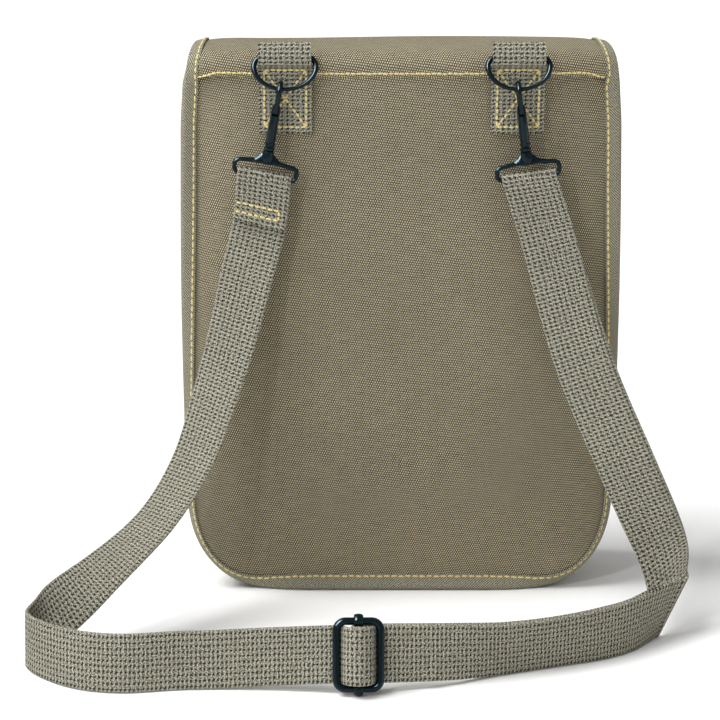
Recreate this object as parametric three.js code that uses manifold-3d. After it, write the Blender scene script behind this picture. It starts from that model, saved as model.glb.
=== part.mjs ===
// A canvas map case that stands on its base, with its shoulder strap laid forward on the floor.
// Millimetres, +Z up. The origin is the middle of the base, on the floor. The back of the case,
// which carries the strap, faces -Y, and the flap's front faces +Y.
import * as THREE from 'three';
import { mergeVertices } from 'three/addons/utils/BufferGeometryUtils.js';
import Module from 'manifold-3d';

// Cloth thicknesses, and the clearance kept between neighbouring pieces
const CANVAS = 1.2;
const TAPE = 1.0;
const TAB = { width: 26, thickness: 1.6 };
const WEBBING = { width: 27, thickness: 1.8 };
const GAP = 0.3;
// Where cloth turns a corner its wall is mitred, up to this share of the thickness
const MITRE = 1.4;
// The tape's fold, as shares of its half height: where it starts and how far it stands out
const TAPE_FOLD = { start: 0.1, crown: 0.9 };

// The two panel seams: height of the lowest and highest point, half width low down and at the top
const SEAM = { bottom: 6.6, top: 266.5, frontTop: 253, halfLow: 106.2, halfHigh: 103, taperFrom: 80 };
const CORNER = { across: 34, up: 48, power: 2.3 };
// Distance of each seam from the middle plane, at the floor and at the top
const HALF_DEPTH = { low: 30, high: 26.5 };
// How far the stuffed panels swell past their seams, and how soon after the seam
const SWELL = { back: 12, front: 7, reach: 22 };
// The bound seam allowances stand out sideways, and downwards and outwards along the base
const FIN = { reach: 5, sideTurn: 12, baseTurn: 45, inset: 1, gussetInset: 2.4 };
const PANEL_TOP = 274;
const COLUMN_SHARES = [0, 0.3, 0.6, 0.75, 0.86, 0.935, 0.98, 1];
const PANEL_ROWS = 9;
const ROW_CROWDING = 1.35;
const GUSSET_SHARES = [0, 0.13, 0.32, 0.68, 0.87, 1];
const GUSSET = { puff: 1.2, plateau: 0.25, settle: 6 };

// The flap, sewn to the back, over the top and down the front. Each row is one line across it:
// depth as a share of the case's half depth there, height, how much the sides droop, and its width's share
const FLAP = {
  half: 108.4, frontHalfDepth: 35.4, frontSwell: 7, hem: 40, corner: 38, edge: 4.6, droopPower: 6,
};
const FLAP_BACK_ROWS = [
  { depth: -1, z: 268.4, droop: 0, wide: 1 },
  { depth: -1, z: 274.4, droop: 0.3, wide: 0.99 },
  { depth: -0.92, z: 279, droop: 1, wide: 0.98 },
  { depth: -0.66, z: 282.6, droop: 2, wide: 0.967 },
  { depth: -0.25, z: 284.2, droop: 2.5, wide: 0.96 },
  { depth: 0.25, z: 283.4, droop: 2.5, wide: 0.96 },
  { depth: 0.68, z: 279.5, droop: 2, wide: 0.97 },
  { depth: 0.93, z: 271, droop: 1, wide: 0.985 },
  { depth: 1, z: 258, droop: 0, wide: 1 },
];
const FLAP_FRONT_ROWS = [
  { depth: 1.02, drop: 0.2 },
  { depth: 1.03, drop: 0.45 },
  { depth: 1.01, drop: 0.72 },
  { depth: 0.99, drop: 0.9 },
  { depth: 0.97, drop: 1 },
];
// The flap's press stud, and its cap's edge as shares of the cap's radius and height
const STUD = {
  z: 74, capRadius: 7, capHeight: 2.4, post: 2, hole: 2.4, socket: 5.5, shoulder: 0.4, holeFrom: 20, holeTo: 60,
};
const STUD_CAP_ROWS = [
  { radius: 1, height: 0 },
  { radius: 1, height: 0.45 },
  { radius: 0.8, height: 0.85 },
  { radius: 0.4, height: 1 },
];

// D-rings in their webbing tabs
const RING = {
  x: 57.5, y: -44, z: 279, width: 30.6, height: 16, wire: 1.35, tilt: 14.5, topCorner: 1.6, footFlat: 0.4,
};
const TAB_FOOT = 239;
const TAB_JOIN = 267;
const TAB_STEPS = 30;
const TAB_ROW = 10;
// The slack loop round the ring's bar, from its front to its back, as shares of the wrap's radius
const TAB_LOOP_ROWS = [
  { y: 0.3, z: -2.2 },
  { y: -0.74, z: -0.74 },
  { y: -1.12, z: 0.25 },
  { y: -0.7, z: 1.96 },
  { y: 0, z: 2.6 },
  { y: 0.75, z: 1.78 },
  { y: 1.04, z: 0 },
  { y: 1.37, z: -2.04 },
];
// Between these heights the tab climbs from the panel on to the flap's edge
const TAB_LIFT = { from: 256, to: 265 };
// Above these heights the tab lies straight across, at the bar
const TAB_STRAIGHT = { from: 265, to: 275 };

// Snap hooks. Local z runs up the shank from the swivel collar, and -y is the gate side
const HOOKS = [
  { side: 'left', x: -65.4, y: -48.4, z: 234.4, lean: 10.5, ring: -1 },
  { side: 'right', x: 61.2, y: -48.4, z: 234.1, lean: -7.5, ring: 1 },
];
const HOOK = { wire: 1.3, bendRadius: 3.8, bendHeight: 29, spineFoot: 15, flatten: 1.75, bendSteps: 8 };
const HOOK_BODY_ROWS = [
  { radius: 2.8, z: -0.7 },
  { radius: 2.8, z: 0.8 },
  { radius: 2.3, z: 1.6 },
  { radius: 2.6, z: 3.4 },
  { radius: 2.35, z: 17 },
  { radius: 2.1, z: 21.2 },
  { radius: 1.2, z: 22 },
];
const POST = { radius: 1.45, head: 2.6, headTop: -7.9, foot: -9.3, sunk: 0.4, top: 1 };
const GATE = {
  width: 2.4, thickness: 1.5, pivotZ: 18.2, pivotY: -2.3, tipZ: 28.5, tipY: -3.7, nose: 0.5,
  pin: 0.55, pinHalf: 1.95, holeHalf: 4,
};
const SLOT = { width: 3, back: 0.5, front: -8, foot: 16.6, top: 23.5 };
const EYE = {
  width: 31, height: 8.2, topZ: -6, wire: 1.15, topCorner: 4.4, footCorner: 2.2, bore: 1.75, flatten: 0.8,
  boreFrom: -12, boreTo: 2,
};
const EYE_BOSS_ROWS = [
  { radius: 2.7, z: -1 },
  { radius: 2.9, z: -2.6 },
  { radius: 4.4, z: -5.4 },
  { radius: 4.2, z: -7.2 },
];

// The slider stands on its edge in the strap's front stretch: place on the strap, turn and lean
const SLIDER = { x: -21.3, y: -178.5, lift: 4.6, turn: 3, lean: 12 };
const SLIDER_FRAME = { width: 20.4, height: 31, corner: 4.2, wire: 1.8 };
const SLIDER_BAR = { radius: 1.4, sleeve: 2.7, bore: 2.1, length: 4.2, end: 1, boreReach: 5 };

// The strap, from the left eye round to the right eye. Each row is one place along its middle line.
// roll turns the strap's width from upright (0) to lying across (90), lean tips it towards the case.
// A row without z stands with its lower edge on the floor, raised by lift
const STRAP_LEFT_ROWS = [
  { x: -70.2, y: -47.6, z: 199, roll: -77, lean: 6 },
  { x: -77.4, y: -50.5, z: 170, roll: -76, lean: 15 },
  { x: -84, y: -55, z: 142.5, roll: -75, lean: 25 },
  { x: -94.4, y: -63, z: 108, roll: -76, lean: 35 },
  { x: -104.5, y: -74, z: 80.5, roll: -84, lean: 42 },
  { x: -120.5, y: -91, z: 57, roll: -86, lean: 44 },
  { x: -147, y: -118, z: 36.5, roll: -60, lean: 42 },
  { x: -163.5, y: -130, z: 24.5, roll: -31, lean: 24 },
  { x: -174, y: -134.5, lift: 3, roll: -7, lean: 8 },
  { x: -178.6, y: -141.5, lift: 0.3, roll: 0, lean: 6 },
  { x: -175.5, y: -150, lift: 0, roll: 0, lean: 8 },
  { x: -165, y: -161.3, lift: 0, roll: 0, lean: 12 },
  { x: -150, y: -171, lift: 0, roll: 0, lean: 15 },
  { x: -131, y: -175.2, lift: 0, roll: 0, lean: 15 },
  { x: -100, y: -171.2, lift: 0, roll: 0, lean: 14 },
  { x: -64, y: -171.8, lift: 2, roll: 0, lean: 14 },
];
const STRAP_RIGHT_ROWS = [
  { x: 22, y: -167.5, lift: 2.4, roll: 0, lean: 3 },
  { x: 46, y: -158.2, lift: 0.3, roll: 0, lean: -10 },
  { x: 72, y: -148.2, lift: 0, roll: 0, lean: -13 },
  { x: 96, y: -136.5, lift: 0, roll: 0, lean: -7 },
  { x: 111, y: -125, lift: 0, roll: 3, lean: -2 },
];
// The strap is folded on a slant here: apex of the middle line, direction of the crease, way out
const CREASE = { x: 134.2, y: -101, z: 14.6, along: [0.45, 0.13, 0.88], out: [0.75, 0.48, -0.45] };
const CREASE_TURN = { radius: 4.4, halfAngle: 71, steps: 6, slide: 0.55 };
const STRAP_UP_ROWS = [
  { x: 121.8, y: -95, z: 55, roll: 70, lean: 2 },
  { x: 112, y: -84.5, z: 82, roll: 70, lean: 2 },
  { x: 94.5, y: -69.5, z: 122, roll: 71, lean: 2 },
  { x: 82.8, y: -59, z: 157, roll: 73, lean: 2 },
  { x: 73.4, y: -50.5, z: 188, roll: 76, lean: 1 },
];
const STRAP_STEP = 12;
const SEWN_END = 27;
const SLIDER_TAIL = 26;
const SLIDER_STEPS = 3;
// The doubled run's inner layer: its sideways shift, between these distances from the eye and heights
const LAYER_DRIFT = { shift: 1.8, from: 20, to: 90, low: 30, high: 70 };
// Distances from an eye over which two layers come together below its wire
const EYE_SPREAD = { from: 3, to: 26 };
const EYE_STEPS = 5;
// The steepest slant of a fold's line across the strap
const SLANT = 0.8;
// The strap is drawn in where it passes the slider: its share of the width, and over what distance
const DRAWN_IN = { share: 0.93, from: 14, to: 34 };
const FLOOR_CLEARANCE = 0.3;

// How finely round and bent pieces are faceted
const SIDES = { wire: 6, pin: 8, rod: 10, turned: 12, hole: 14 };
const LOOP_STEPS = { ring: 32, eye: 32, slider: 36 };
const BEND_STEPS = { along: 16, around: 4, nose: 6 };

const wasm = await Module();
wasm.setup();

const canvas = new THREE.MeshStandardMaterial({ name: 'canvas', color: 0x8a7f66, roughness: 0.95 });
const tape = new THREE.MeshStandardMaterial({ name: 'binding_tape', color: 0x8b856c, roughness: 0.9 });
const webbing = new THREE.MeshStandardMaterial({ name: 'webbing', color: 0x8f8a74, roughness: 0.95 });
const paint = new THREE.MeshStandardMaterial({
  name: 'black_paint', color: 0x141d22, roughness: 0.35, metalness: 0.6,
});

const radians = THREE.MathUtils.degToRad;
const { clamp, lerp, smoothstep } = THREE.MathUtils;
const point = (x, y, z) => new THREE.Vector3(x, y, z);

// Booleans on closed geometries
function solid(geometry) {
  const bare = geometry.clone();
  bare.deleteAttribute('normal');
  bare.deleteAttribute('uv');
  const merged = mergeVertices(bare, 1e-4);
  return new wasm.Manifold(new wasm.Mesh({
    numProp: 3,
    vertProperties: new Float32Array(merged.attributes.position.array),
    triVerts: new Uint32Array(merged.index.array),
  }));
}

function geometryOf(body) {
  const data = body.getMesh();
  const geometry = new THREE.BufferGeometry();
  geometry.setAttribute('position', new THREE.BufferAttribute(new Float32Array(data.vertProperties), 3));
  geometry.setIndex(new THREE.BufferAttribute(new Uint32Array(data.triVerts), 1));
  geometry.computeVertexNormals();
  return geometry;
}

function joined(first, ...others) {
  return geometryOf(others.reduce((body, other) => body.add(solid(other)), solid(first)));
}

function cut(first, ...others) {
  return geometryOf(others.reduce((body, other) => body.subtract(solid(other)), solid(first)));
}

// Cloth: a middle surface of quads, given a thickness along its own normals
function quadsOf(rows) {
  return rows.slice(1).flatMap((row, j) => row.slice(1).map((corner, i) => [
    rows[j][i], rows[j][i + 1], corner, row[i],
  ]));
}

function thicken(quads, thickness) {
  const places = [];
  const keys = new Map();
  const indexOf = (p) => {
    const key = [p.x, p.y, p.z].map((value) => Math.round(value * 1e4)).join(' ');
    if (!keys.has(key)) keys.set(key, places.push(p) - 1);
    return keys.get(key);
  };
  const faces = quads.map((quad) => quad.map(indexOf));
  const faceNormals = faces.map(([a, b, c, d]) => places[c].clone().sub(places[a])
    .cross(places[d].clone().sub(places[b])).normalize());
  const normals = places.map(() => point(0, 0, 0));
  faces.forEach((face, k) => face.forEach((i) => normals[i].add(faceNormals[k])));
  normals.forEach((normal) => normal.normalize());
  // Where the cloth turns a corner, the offset grows so that the wall keeps its thickness
  const reach = places.map(() => 1);
  faces.forEach((face, k) => face.forEach((i) => {
    reach[i] = Math.max(reach[i], Math.min(1 / Math.max(normals[i].dot(faceNormals[k]), 1 / MITRE), MITRE));
  }));
  const edges = new Map();
  faces.forEach((face) => face.forEach((a, k) => {
    const b = face[(k + 1) % face.length];
    if (edges.has(`${b} ${a}`)) edges.delete(`${b} ${a}`);
    else edges.set(`${a} ${b}`, [a, b]);
  }));
  const count = places.length;
  const vertices = [1, -1].flatMap((way) => places.flatMap((p, i) => (
    p.clone().addScaledVector(normals[i], (way * thickness * reach[i]) / 2).toArray()
  )));
  const triangles = faces.flatMap(([a, b, c, d]) => [
    a, b, c, a, c, d, a + count, c + count, b + count, a + count, d + count, c + count,
  ]);
  edges.forEach(([a, b]) => triangles.push(a, a + count, b + count, a, b + count, b));
  const geometry = new THREE.BufferGeometry();
  geometry.setAttribute('position', new THREE.BufferAttribute(new Float32Array(vertices), 3));
  geometry.setIndex(triangles);
  geometry.computeVertexNormals();
  return geometry;
}

// The case's seam outline and panels
function seamHalf(z) {
  const share = clamp((z - SEAM.taperFrom) / (SEAM.top - SEAM.taperFrom), 0, 1);
  return lerp(SEAM.halfLow, SEAM.halfHigh, share);
}

function seamFloor(x) {
  const share = clamp((Math.abs(x) - SEAM.halfLow + CORNER.across) / CORNER.across, 0, 1);
  return SEAM.bottom + CORNER.up * (1 - (1 - share ** CORNER.power) ** (1 / CORNER.power));
}

const halfDepth = (z) => lerp(HALF_DEPTH.low, HALF_DEPTH.high, z / SEAM.top);
const fullness = (inset) => 1 - Math.exp(-Math.max(inset, 0) / SWELL.reach);

function panelDepth(swell, x, z) {
  return halfDepth(z) + swell * fullness(seamHalf(z) - Math.abs(x)) * fullness(z - seamFloor(x));
}

function mirroredShares(shares) {
  return [...shares.slice(1).reverse().map((share) => -share), ...shares];
}

function panelRows(side, swell, top, extraTop) {
  const heights = Array.from({ length: PANEL_ROWS + 1 }, (_, j) => (j / PANEL_ROWS) ** ROW_CROWDING);
  const rows = heights.map((share) => mirroredShares(COLUMN_SHARES).map((u) => {
    const z = lerp(seamFloor(u * SEAM.halfLow), top, share);
    const x = u * seamHalf(z);
    return point(x, side * panelDepth(swell, u * SEAM.halfLow, z), z);
  }));
  if (!extraTop) return { rows, seamRows: rows };
  const last = mirroredShares(COLUMN_SHARES).map((u) => (
    point(u * seamHalf(extraTop), side * panelDepth(swell, u * SEAM.halfLow, extraTop), extraTop)
  ));
  return { rows: [...rows, last], seamRows: rows };
}

// Down the left side, along the foot and up the right side of a grid of rows
function freeEdge(rows) {
  const last = rows[0].length - 1;
  return [
    ...rows.slice(1).reverse().map((row) => row[0]),
    ...rows[0],
    ...rows.slice(1).map((row) => row[last]),
  ];
}

// The seam allowance's frame at each place on the seam: way out, and normal towards the outside
function finFrames(seam, side) {
  return seam.map((p, i) => {
    const before = seam[Math.max(i - 1, 0)];
    const after = seam[Math.min(i + 1, seam.length - 1)];
    const along = after.clone().sub(before).setY(0).normalize();
    const sideways = point(along.z, 0, -along.x);
    const down = Math.max(-sideways.z, 0);
    const turn = radians(lerp(FIN.sideTurn, FIN.baseTurn, down));
    const out = sideways.clone().multiplyScalar(Math.cos(turn)).add(point(0, side * Math.sin(turn), 0));
    const normal = sideways.clone().multiplyScalar(-Math.sin(turn)).add(point(0, side * Math.cos(turn), 0));
    return { p, out, normal, sideways, down };
  });
}

const LAYER = CANVAS + GAP;
const finEdge = (frames, depth) => frames.map(({ p, out, normal }) => (
  p.clone().addScaledVector(out, FIN.reach).addScaledVector(normal, depth)
));

function panelGeometry(side, panel, frames) {
  const edge = finEdge(frames, 0);
  const seam = frames.map(({ p }) => p);
  const fin = quadsOf(side < 0 ? [edge, seam] : [seam, edge]);
  const body = quadsOf(side < 0 ? panel.rows : panel.rows.map((row) => [...row].reverse()));
  return thicken([...body, ...fin], CANVAS);
}

function gussetGeometry(backFrames, frontFrames) {
  const inner = (frames) => frames.map(({ p, normal }) => p.clone().addScaledVector(normal, -LAYER));
  const back = inner(backFrames);
  const front = inner(frontFrames);
  const backEdge = finEdge(backFrames, -LAYER);
  const frontEdge = finEdge(frontFrames, -LAYER);
  const rows = back.map((from, i) => {
    const { sideways, down } = backFrames[i];
    const strip = GUSSET_SHARES.map((share) => {
      const level = smoothstep(Math.min(share, 1 - share), 0, GUSSET.plateau);
      const p = from.clone().lerp(front[i], share).addScaledVector(sideways, GUSSET.puff * level);
      p.z = lerp(p.z, CANVAS / 2, level * down ** GUSSET.settle);
      return p;
    });
    return [backEdge[i], ...strip, frontEdge[i]];
  });
  return thicken(quadsOf(rows), CANVAS);
}

// Tape folded over a free edge. Each frame gives the edge, the way out and the normal there
function tapeGeometry(frames, halfSlot, faceReach, backReach) {
  const h = halfSlot + TAPE / 2;
  const profile = [
    { out: -faceReach, up: h }, { out: TAPE_FOLD.start * h, up: h }, { out: TAPE_FOLD.crown * h, up: 0 },
    { out: TAPE_FOLD.start * h, up: -h }, { out: -backReach, up: -h },
  ];
  const rows = frames.map(({ p, out, normal }) => profile.map((place) => (
    p.clone().addScaledVector(out, place.out).addScaledVector(normal, place.up)
  )));
  const turned = frames[1].p.clone().sub(frames[0].p).cross(frames[0].out).dot(frames[0].normal) > 0;
  return thicken(quadsOf(turned ? rows : rows.map((row) => [...row].reverse())), TAPE);
}

function seamTape(frames) {
  const middle = frames.map(({ p, out, normal }) => ({
    p: p.clone().addScaledVector(out, FIN.reach).addScaledVector(normal, -LAYER / 2), out, normal,
  }));
  return tapeGeometry(middle, LAYER / 2 + CANVAS / 2 + GAP, FIN.reach - FIN.inset, FIN.reach - FIN.gussetInset);
}

// The flap
function flapPoint(u, depth, z, droop = 0, wide = 1) {
  const round = fullness((1 - Math.abs(u)) * FLAP.half);
  const reach = depth < 0
    ? halfDepth(SEAM.top) + SWELL.back * round + LAYER
    : FLAP.frontHalfDepth + FLAP.frontSwell * round;
  return point(u * FLAP.half * wide, depth * reach, z - droop * Math.abs(u) ** FLAP.droopPower);
}

function flapHem(u) {
  const share = clamp((Math.abs(u) * FLAP.half - FLAP.half + FLAP.corner) / FLAP.corner, 0, 1);
  return FLAP.hem + FLAP.corner * (1 - Math.sqrt(1 - share ** 2));
}

function flapRows() {
  const shares = mirroredShares(COLUMN_SHARES);
  const top = FLAP_BACK_ROWS.at(-1).z;
  const front = FLAP_FRONT_ROWS.map(({ depth, drop }) => shares.map((u) => (
    flapPoint(u, depth, lerp(top, flapHem(u), drop))
  )));
  const back = FLAP_BACK_ROWS.map(({ depth, z, droop, wide }) => shares.map((u) => (
    flapPoint(u, depth, z, droop, wide)
  )));
  return [...back, ...front];
}

// Way out and normal along a grid's free edge, from the next line of the grid inside it
function edgeFrames(rows) {
  const inset = rows.slice(0, -1).map((row) => row.slice(1, -1));
  const edge = freeEdge([...rows].reverse());
  const inside = freeEdge([...inset].reverse());
  const nearest = (p) => inside.reduce((best, q) => (q.distanceTo(p) < best.distanceTo(p) ? q : best));
  return edge.map((p, i) => {
    const before = edge[Math.max(i - 1, 0)];
    const after = edge[Math.min(i + 1, edge.length - 1)];
    const along = after.clone().sub(before).normalize();
    const inwards = nearest(p).clone().sub(p);
    const normal = along.clone().cross(inwards).normalize().negate();
    const out = normal.clone().cross(along).normalize();
    return { p, out: out.dot(inwards) > 0 ? out.negate() : out, normal };
  });
}

// Wire bent to a closed loop in the local XZ plane, hanging down from z = 0
function loopCurve(width, height, topCorner, footCorner) {
  const path = new THREE.CurvePath();
  const half = width / 2;
  const bow = 0.5523;
  const corner = (at, from, to) => new THREE.CubicBezierCurve3(
    from, from.clone().lerp(at, bow), to.clone().lerp(at, bow), to,
  );
  const line = (a, b) => new THREE.LineCurve3(a, b);
  const topLeft = point(-half, 0, 0);
  const topRight = point(half, 0, 0);
  const footLeft = point(-half, 0, -height);
  const footRight = point(half, 0, -height);
  const down = (p, reach) => p.clone().add(point(0, 0, -reach));
  const right = (p, reach) => p.clone().add(point(reach, 0, 0));
  path.add(line(right(topLeft, topCorner), right(topRight, -topCorner)));
  path.add(corner(topRight, right(topRight, -topCorner), down(topRight, topCorner)));
  path.add(line(down(topRight, topCorner), down(footRight, -footCorner)));
  path.add(corner(footRight, down(footRight, -footCorner), right(footRight, -footCorner)));
  path.add(line(right(footRight, -footCorner), right(footLeft, footCorner)));
  path.add(corner(footLeft, right(footLeft, footCorner), down(footLeft, -footCorner)));
  path.add(line(down(footLeft, -footCorner), down(topLeft, topCorner)));
  path.add(corner(topLeft, down(topLeft, topCorner), right(topLeft, topCorner)));
  return path;
}

const wireLoop = (curve, steps, wire) => new THREE.TubeGeometry(curve, steps, wire, SIDES.wire, true);

function turnedProfile(rows, sides) {
  const points = rows.map(({ radius, z }) => new THREE.Vector2(radius, z));
  const rising = rows.at(-1).z > rows[0].z;
  const closed = [new THREE.Vector2(0, rows[0].z), ...points, new THREE.Vector2(0, rows.at(-1).z)];
  return new THREE.LatheGeometry(rising ? closed : closed.reverse(), sides).rotateX(Math.PI / 2);
}

const rod = (radius, from, to, sides) => turnedProfile([{ radius, z: from }, { radius, z: to }], sides);

// Webbing tab: a strip folded over the D-ring's bar, both layers flat on the back below it
function outerDepth(x, z) {
  const panel = panelDepth(SWELL.back, x, Math.min(z, SEAM.top));
  const flap = -flapPoint(x / FLAP.half, -1, z).y;
  return lerp(panel, flap, smoothstep(z, TAB_LIFT.from, TAB_LIFT.to)) + CANVAS / 2;
}

function tabGeometry(centre) {
  const wrap = RING.wire + GAP + TAB.thickness / 2;
  const layer = TAB.thickness + GAP;
  const flat = (z, layers) => point(0, -outerDepth(centre, z) - GAP - TAB.thickness / 2 - layers * layer, z);
  const rungs = [TAB_FOOT, TAB_FOOT + TAB_ROW, TAB_FOOT + 2 * TAB_ROW, TAB_JOIN];
  const curve = new THREE.CatmullRomCurve3([
    ...rungs.map((z) => flat(z, 1)),
    ...TAB_LOOP_ROWS.map(({ y, z }) => point(0, RING.y + y * wrap, RING.z + z * wrap)),
    ...rungs.map((z) => flat(z, 0)).reverse(),
  ]);
  // Low down the tab follows the panel's bulge across its width, and at the bar it lies straight
  const level = outerDepth(centre, TAB_FOOT);
  const rows = curve.getPoints(TAB_STEPS).map((p) => [-0.5, 0, 0.5].map((share) => {
    const x = centre + share * TAB.width;
    const follow = 1 - smoothstep(p.z, TAB_STRAIGHT.from, TAB_STRAIGHT.to);
    return point(x, p.y + follow * (level - outerDepth(x, TAB_FOOT)), p.z);
  }));
  return thicken(quadsOf(rows), TAB.thickness);
}

// Snap hook
function hookGeometry() {
  const body = turnedProfile(HOOK_BODY_ROWS, SIDES.turned).scale(1, HOOK.flatten, 1);
  const bend = new THREE.CurvePath();
  const spineFoot = point(0, HOOK.bendRadius, HOOK.spineFoot);
  const spineTop = point(0, HOOK.bendRadius, HOOK.bendHeight);
  bend.add(new THREE.LineCurve3(spineFoot, spineTop));
  const arc = Array.from({ length: HOOK.bendSteps + 1 }, (_, k) => {
    const angle = (Math.PI * k) / HOOK.bendSteps;
    return point(0, HOOK.bendRadius * Math.cos(angle), HOOK.bendHeight + HOOK.bendRadius * Math.sin(angle));
  });
  bend.add(new THREE.CatmullRomCurve3(arc));
  const section = new THREE.Shape().absarc(0, 0, HOOK.wire, 0, 2 * Math.PI);
  const wire = new THREE.ExtrudeGeometry(section, {
    steps: BEND_STEPS.along, curveSegments: BEND_STEPS.around, bevelEnabled: false, extrudePath: bend,
  });
  const post = rod(POST.radius, POST.foot + POST.sunk, POST.top, SIDES.rod);
  const head = rod(POST.head, POST.foot, POST.headTop, SIDES.rod);
  const slot = new THREE.BoxGeometry(SLOT.width, SLOT.back - SLOT.front, SLOT.top - SLOT.foot);
  slot.translate(0, (SLOT.back + SLOT.front) / 2, (SLOT.top + SLOT.foot) / 2);
  const pinHole = rod(GATE.pin + GAP, -GATE.holeHalf, GATE.holeHalf, SIDES.pin)
    .rotateY(Math.PI / 2).translate(0, GATE.pivotY, GATE.pivotZ);
  return cut(joined(body, wire, post, head), slot, pinHole);
}

function gateGeometry() {
  const run = new THREE.Vector2(GATE.tipY - GATE.pivotY, GATE.tipZ - GATE.pivotZ);
  const angle = Math.atan2(-run.x, run.y);
  const half = GATE.thickness / 2;
  const outline = new THREE.Shape();
  outline.moveTo(half, 0);
  outline.lineTo(half, run.length() - GATE.nose);
  outline.lineTo(half - GATE.nose, run.length());
  outline.lineTo(-half, run.length());
  outline.lineTo(-half, 0);
  outline.absarc(0, 0, half, Math.PI, 2 * Math.PI);
  const lever = new THREE.ExtrudeGeometry(outline, {
    depth: GATE.width, steps: 1, curveSegments: BEND_STEPS.nose, bevelEnabled: false,
  });
  lever.translate(0, 0, -GATE.width / 2).rotateZ(angle);
  // The outline's x runs along local y and its y up the shank
  lever.rotateX(Math.PI / 2).rotateZ(Math.PI / 2);
  const pin = rod(GATE.pin, -GATE.pinHalf, GATE.pinHalf, SIDES.pin).rotateY(Math.PI / 2);
  return joined(lever, pin).translate(0, GATE.pivotY, GATE.pivotZ);
}

function eyeGeometry() {
  const curve = loopCurve(EYE.width, EYE.height, EYE.topCorner, EYE.footCorner);
  const ring = wireLoop(curve, LOOP_STEPS.eye, EYE.wire).translate(0, 0, EYE.topZ);
  const boss = turnedProfile(EYE_BOSS_ROWS, SIDES.turned).scale(1, EYE.flatten, 1);
  return cut(joined(boss, ring), rod(EYE.bore, EYE.boreFrom, EYE.boreTo, SIDES.rod));
}

// Strap. A row is a place on the middle line and the direction of the width there
function widthDirection({ roll, lean }) {
  const across = radians(roll);
  const tip = radians(lean);
  return point(Math.sin(across) * Math.cos(tip), Math.sin(tip), Math.cos(across) * Math.cos(tip));
}

function strapRow(row) {
  const w = widthDirection(row);
  const onFloor = (w.z * WEBBING.width + Math.hypot(w.x, w.y) * WEBBING.thickness) / 2;
  return { p: point(row.x, row.y, row.z ?? onFloor + row.lift), w };
}

// Local frames of the slider and the eyes
function sliderFrame() {
  const w = widthDirection({ roll: 0, lean: SLIDER.lean });
  const along = point(Math.cos(radians(SLIDER.turn)), Math.sin(radians(SLIDER.turn)), 0);
  const across = along.clone().addScaledVector(w, -along.dot(w)).normalize();
  const out = across.clone().cross(w).normalize();
  const { p } = strapRow({ x: SLIDER.x, y: SLIDER.y, lift: SLIDER.lift, roll: 0, lean: SLIDER.lean });
  return { origin: p, along: across, out, w };
}

const hookMatrix = ({ x, y, z, lean }) => new THREE.Matrix4()
  .makeRotationY(radians(lean)).setPosition(x, y, z);

function eyeFrame(hook) {
  const turn = new THREE.Matrix4().makeRotationY(radians(hook.lean));
  return {
    origin: point(0, 0, EYE.topZ - EYE.height).applyMatrix4(hookMatrix(hook)),
    across: point(1, 0, 0).transformDirection(turn),
    up: point(0, 0, 1).transformDirection(turn),
  };
}

// Distance of a strap layer's middle from the wire that it goes round
const round = (wire, layers) => wire + GAP + WEBBING.thickness / 2 + layers * (WEBBING.thickness + GAP);

// Over the slider's bar, in the slider's own frame: s along the strap, n towards the outside
function sliderPath(layers) {
  const bar = round(SLIDER_BAR.radius, 1 - layers);
  const side = round(SLIDER_FRAME.wire, layers);
  const far = SLIDER_FRAME.width / 2;
  const slope = Math.asin((bar + side) / far);
  const path = new THREE.Path();
  path.moveTo(0, bar);
  path.absarc(0, 0, bar, Math.PI / 2, Math.PI / 2 - slope, true);
  path.absarc(far, 0, side, 1.5 * Math.PI - slope, 1.5 * Math.PI, false);
  return path.getPoints(SLIDER_STEPS).map(({ x, y }) => ({ s: x, n: y }));
}

// The sewn end goes round the bar and lies behind the strap
function sliderTail() {
  const bar = round(SLIDER_BAR.radius, 0);
  const side = round(SLIDER_FRAME.wire, 2);
  const far = SLIDER_FRAME.width / 2;
  const slope = Math.asin((side - bar) / far);
  const path = new THREE.Path();
  path.absarc(0, 0, bar, Math.PI / 2, 1.5 * Math.PI - slope, false);
  path.absarc(far, 0, side, 1.5 * Math.PI - slope, 1.5 * Math.PI, false);
  path.lineTo(far + SLIDER_TAIL, -side);
  return path.getPoints(SLIDER_STEPS).slice(1).map(({ x, y }) => ({ s: x, n: y }));
}

function inSlider(places, mirror = 1) {
  const { origin, along, out, w } = sliderFrame();
  return places.map(({ s, n }) => ({
    p: origin.clone().addScaledVector(along, mirror * s).addScaledVector(out, n), w,
  }));
}

function creaseRows() {
  const along = point(...CREASE.along).normalize();
  const out = point(...CREASE.out);
  out.addScaledVector(along, -out.dot(along)).normalize();
  const inwards = along.clone().cross(out);
  const { radius, halfAngle, steps, slide } = CREASE_TURN;
  const axis = point(CREASE.x, CREASE.y, CREASE.z).addScaledVector(out, -radius);
  return Array.from({ length: steps + 1 }, (_, k) => {
    const angle = radians(lerp(-halfAngle, halfAngle, k / steps));
    const p = axis.clone().addScaledVector(out, radius * Math.cos(angle));
    p.addScaledVector(inwards, radius * Math.sin(angle)).addScaledVector(along, slide * radius * angle);
    return { p, w: along };
  });
}

// Evenly spaced rows on a smooth line through the given ones
function smoothRows(rows, step) {
  const curve = new THREE.CatmullRomCurve3(rows.map(({ p }) => p), false, 'centripetal');
  const lengths = rows.slice(1).map(({ p }, i) => p.distanceTo(rows[i].p));
  return rows.slice(1).flatMap((row, i) => {
    const count = Math.max(1, Math.round(lengths[i] / step));
    return Array.from({ length: count }, (_, k) => {
      const share = (k + 1) / count;
      return {
        p: curve.getPoint((i + share) / (rows.length - 1)),
        w: rows[i].w.clone().lerp(row.w, smoothstep(share, 0, 1)).normalize(),
      };
    });
  });
}

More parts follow.
